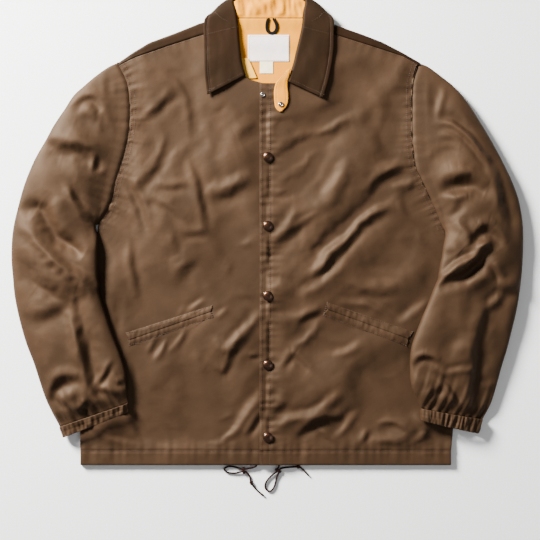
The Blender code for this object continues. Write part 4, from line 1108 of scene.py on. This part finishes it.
# Small socket from its rim to its middle: radius and height, as shares
SOCKET_PROFILE = (
    (0.7, 0), (0.96, 0.1), (1.0, 0.4), (0.9, 0.75), (0.7, 0.85), (0.55, 0.6), (0.5, 0.35),
    (0.3, 0.3), (0.22, 0.7), (0.05, 0.75),
)


def cap_profile(radius, rise):
    """A spring snap's cap: a rolled rim, a fine step and a low dome."""
    out = [(0.86, 0.0), (0.97, 0.03), (1.0, 0.14), (0.98, 0.27), (0.93, 0.33), (0.89, 0.31), (0.87, 0.34)]
    for t in np.linspace(0.05, 1, 12):
        out.append((0.86 * math.cos(t * math.pi / 2) + 0.004, 0.34 + 0.66 * math.sin(t * math.pi / 2)))
    return [(r * radius, h * rise) for r, h in out]


def make_snaps(trees, tab_level):
    """Five caps down the placket and two small sockets at the neck."""
    for k, y in enumerate(SNAP_YS):
        z = max(on_top(trees, 6 * math.cos(a), y + 6 * math.sin(a)) for a in np.linspace(0, 6.2, 12))
        cap = turned_piece(f"snap_cap_{k + 1}", cap_profile(SNAP_RADIUS, 3.2), (0, y, z - 0.2), BRASS)
        dress(cap, "snap_metal", f"snap_{k + 1}")
    for name, node, x, y, r, z in (
        ("snap_socket_top", "snap_top", -8.0, 555.0, 3.6, on_top(trees, -8, 555)),
        ("snap_socket_tab", "chin_tab_snap", 19.5, 540.0, 4.0, tab_level + 0.6),
    ):
        profile = [(a * r, b * 1.9) for a, b in SOCKET_PROFILE]
        dress(turned_piece(name, profile, (x, y, z), NICKEL, 32), "snap_metal", node)


def tube(name, path, radius, finish, sides=12):
    """A round cord along a path, its ends closed."""
    p = np.array(path, dtype=float)
    step = unit(np.gradient(p, axis=0))
    side = unit(np.cross(step, (0.0, 0.0, 1.0)))
    over = np.cross(side, step)
    r = np.broadcast_to(np.asarray(radius, dtype=float), (len(p),))[:, None]
    rows = []
    for k in range(sides):
        a = 2 * math.pi * k / sides
        rows.append(p + r * (math.cos(a) * side + math.sin(a) * over))
    grid = np.stack(rows, axis=1)
    faces, index, turn = tube_faces(len(p), sides)
    points = list(grid.reshape(-1, 3)) + [p[0] - step[0] * 0.3, p[-1] + step[-1] * 0.3]
    first, final = len(p) * sides, len(p) * sides + 1
    for k in range(sides):
        faces.append([first, int(turn[0, k]), int(index[0, k])])
        faces.append([final, int(index[-1, k]), int(turn[-1, k])])
    return add_mesh(name, points, faces, finish)


def coil(centre, degrees, along, wide, tall, turns, count, floor):
    """A line wound round a cord: along holds its two ends on the cord's way, which turns by degrees."""
    x, y, z = centre
    c, s = math.cos(math.radians(degrees)), math.sin(math.radians(degrees))
    rows = []
    for t in np.linspace(0, 2 * math.pi * turns, count):
        share = t / (2 * math.pi * turns)
        a = along[0] + (along[1] - along[0]) * share + along[2] * math.sin(t)
        b = wide * math.cos(t)
        rows.append((x + a * c - b * s, y + a * s + b * c, max(z + tall * math.sin(t), floor)))
    return rows


def make_cords():
    """Both drawcords, each with its overhand knot and the turns that wrap its bow."""
    made = []
    for k, (name, table) in enumerate((("left", CORD_LEFT), ("right", CORD_RIGHT))):
        path = bend(table, (len(table) - 1) * 8 + 1)
        x, y, z, degrees = KNOTS[k]
        rows = coil((x, y, z), degrees, (-1.9, 1.9, 0.6), 1.55, 1.55, 2.4, 70, 1.15)
        knot = dress(tube(f"cord_knot_{name}", rows, 1.1, CORD_FINISH, 10), "cord")
        x, y, z, half, wide, tall, degrees = CORD_WRAPS[k]
        along, tall = (-half * 0.62, half * 0.62, 0.0), (tall + 0.35) * 0.55
        rows = coil((x, y, z), degrees, along, wide + 0.75, tall, 2.5, 90, 1.1)
        wrap = tube(f"cord_wrap_turns_{name}", rows, 1.0, CORD_FINISH, 10)
        dress(wrap, "cord", f"cord_wrap_{name}")
        cord = tube(f"drawcord_line_{name}", path, CORD / 2, CORD_FINISH, 14)
        metres = to_metres(path)
        length = float(np.linalg.norm(np.diff(metres, axis=0), axis=1).sum())
        made.append((dress(cord, "cord", f"drawcord_{name}"), metres, length, [knot, wrap]))
    return made


def stitch_tree(finish):
    """Geometry nodes: short round stitches along the edges of a mesh, an even step apart."""
    tree = bpy.data.node_groups.new("topstitch", "GeometryNodeTree")
    tree.is_modifier = True
    tree.interface.new_socket("Geometry", in_out="INPUT", socket_type="NodeSocketGeometry")
    for label, value in (("Step", 0.0031), ("Length", 0.0022), ("Thickness", 0.00055)):
        socket = tree.interface.new_socket(label, in_out="INPUT", socket_type="NodeSocketFloat")
        socket.default_value = value
    tree.interface.new_socket("Geometry", in_out="OUTPUT", socket_type="NodeSocketGeometry")
    start = add_node(tree, "NodeGroupInput").outputs
    line = add_node(tree, "GeometryNodeMeshToCurve", links={"Mesh": start["Geometry"]})
    even = add_node(
        tree, "GeometryNodeResampleCurve", {"mode": "LENGTH"},
        links={"Curve": line.outputs["Curve"], "Length": start["Step"]},
    )
    ball = add_node(tree, "GeometryNodeMeshUVSphere", inputs={"Segments": 6, "Rings": 4, "Radius": 0.5})
    size = add_node(
        tree, "ShaderNodeCombineXYZ",
        links={"X": start["Thickness"], "Y": start["Thickness"], "Z": start["Length"]},
    )
    long = add_node(
        tree, "GeometryNodeTransform",
        links={"Geometry": ball.outputs["Mesh"], "Scale": size.outputs["Vector"]},
    )
    way = add_node(tree, "GeometryNodeInputTangent").outputs["Tangent"]
    turn = add_node(tree, "FunctionNodeAlignRotationToVector", {"axis": "Z"}, links={"Vector": way})
    many = add_node(
        tree, "GeometryNodeInstanceOnPoints",
        links={
            "Points": even.outputs["Curve"],
            "Instance": long.outputs["Geometry"],
            "Rotation": turn.outputs["Rotation"],
        },
    )
    last = many.outputs["Instances"]
    for kind, inputs in (
        ("GeometryNodeRealizeInstances", None),
        ("GeometryNodeSetShadeSmooth", None),
        ("GeometryNodeSetMaterial", {"Material": finish}),
    ):
        last = add_node(tree, kind, inputs=inputs, links={"Geometry": last}).outputs["Geometry"]
    add_node(tree, "NodeGroupOutput", links={"Geometry": last})
    return tree


def sew(name, lines, trees, finish, slot):
    """Stitches along lines in the plane, laid on the cloth below them and nowhere else."""
    lift, lowest, jump = 0.15, 1.0, 1.5
    points, links = [], []
    for line in lines:
        p = np.array(line, dtype=float)
        length = np.linalg.norm(np.diff(p, axis=0), axis=1).sum()
        q = spread(p, max(int(length / 2.0), 3))
        z = np.array([on_top(trees, x, y) for x, y in q])
        first = len(points)
        points += [(x, y, h + lift) for (x, y), h in zip(q, z, strict=True)]
        held = (np.minimum(z[:-1], z[1:]) > lowest) & (np.abs(np.diff(z)) < jump)
        links += [(first + int(k), first + int(k) + 1) for k in np.flatnonzero(held)]
    mesh = bpy.data.meshes.new(name)
    mesh.from_pydata(to_metres(points).tolist(), links, [])
    path = link(name + "_path", mesh)
    path.modifiers.new("Topstitch", "NODES").node_group = stitch_tree(finish)
    deps = bpy.context.evaluated_depsgraph_get()
    shape = bpy.data.meshes.new_from_object(path.evaluated_get(deps))
    bpy.data.objects.remove(path)
    return dress(link(name, shape), slot)


def offset(line, away):
    """A line moved sideways, to the left of its own way."""
    p = np.array(line, dtype=float)
    step = unit(np.gradient(p, axis=0))
    return p + np.stack([-step[:, 1], step[:, 0]], axis=1) * away


def sew_everything(fronts, collar, tab):
    """Every row of stitches that shows: edges, seams, collar, welts, tab and label."""
    lines = [((3.0, 2.0), (3.0, 569.0)), ((-9.5, 2.0), (-9.5, 569.5))]
    lines += [((-279, 21), (-13.5, 21)), ((-10.5, 21), (273, 21))]
    lines += [offset(SHOULDER_SEAM[:5], -2.2), offset(SHOULDER_SEAM[5:], -2.2)]
    for away in (2.6, 8.0):
        lines += [offset(ARMHOLE_LEFT, -away), offset(ARMHOLE_RIGHT, away)]
    leaf = bend(COLLAR, 120)
    rim, middle = leaf[:, 6:8], leaf[:, 3:5]
    inner = rim + unit(middle - rim) * 4.5
    lines += [inner[:45], inner[75:]]
    for row, away in ((COLLAR[0], -4.0), (COLLAR[-1], 4.0)):
        lines.append(offset([row[0:2], row[3:5], row[6:8]], away))
    for _, top_a, top_b, _, _, low_a, low_b in WELTS:
        a, b, c, d = (np.array(v, dtype=float) for v in (top_a, top_b, low_b, low_a))
        m = (a + b + c + d) / 4
        corners = [q + unit(m - q) * 2.0 for q in (a, b, c, d)]
        lines += [(corners[0], corners[1]), (corners[3], corners[2])]
        for q, r in ((a, d), (b, c)):
            for share in (0.012, 0.03):
                lines.append((q + (m - q) * share, r + (m - r) * share))
    welts = [o for o in bpy.data.objects if o.name.startswith("welt_") and "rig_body" in o]
    sew("topstitching_shell", lines, seen(*fronts, collar, *welts), THREAD, "nylon")
    sides = [[(x + half * share, y) for x, y, half in bend(CHIN_TAB, 40)] for share in (-0.74, 0.74)]
    sew("topstitching_tab", sides, seen(tab), PALE_THREAD, "lining")
    label = [(-28.6, 607.4), (30.1, 607.4), (30.1, 643.6), (-28.6, 643.6), (-28.6, 607.4)]
    sew("topstitching_label", [label], seen(bpy.data.objects["bare_label"]), PALE_THREAD, "lining")


seat_camera()
cords = make_cords()
back, yokes = make_back()
under = make_front("left_front", "front_left_under", UNDER_UPPER, -1)
over = make_front("right_front", "front_right_over", OVER_UPPER, 1)
left_sleeve = make_sleeve("left_sleeve", "sleeve_left", SLEEVE_LEFT, -1)
left_cuff = make_cuff("cuff_left", CUFF_LEFT, -1)
right_sleeve = make_sleeve("right_sleeve", "sleeve_right", SLEEVE_RIGHT, 1)
right_cuff = make_cuff("cuff_right", CUFF_RIGHT, 1)
collar = make_collar()
neck = make_neck(seen(back))
front_trees = seen(under, over)
make_patches(seen(neck["lining"], neck["stand_lining"]), front_trees)
tab = make_chin_tab(TAB_LEVEL)
make_snaps(front_trees, TAB_LEVEL)
sew_everything((under, over), collar, tab)
studio()
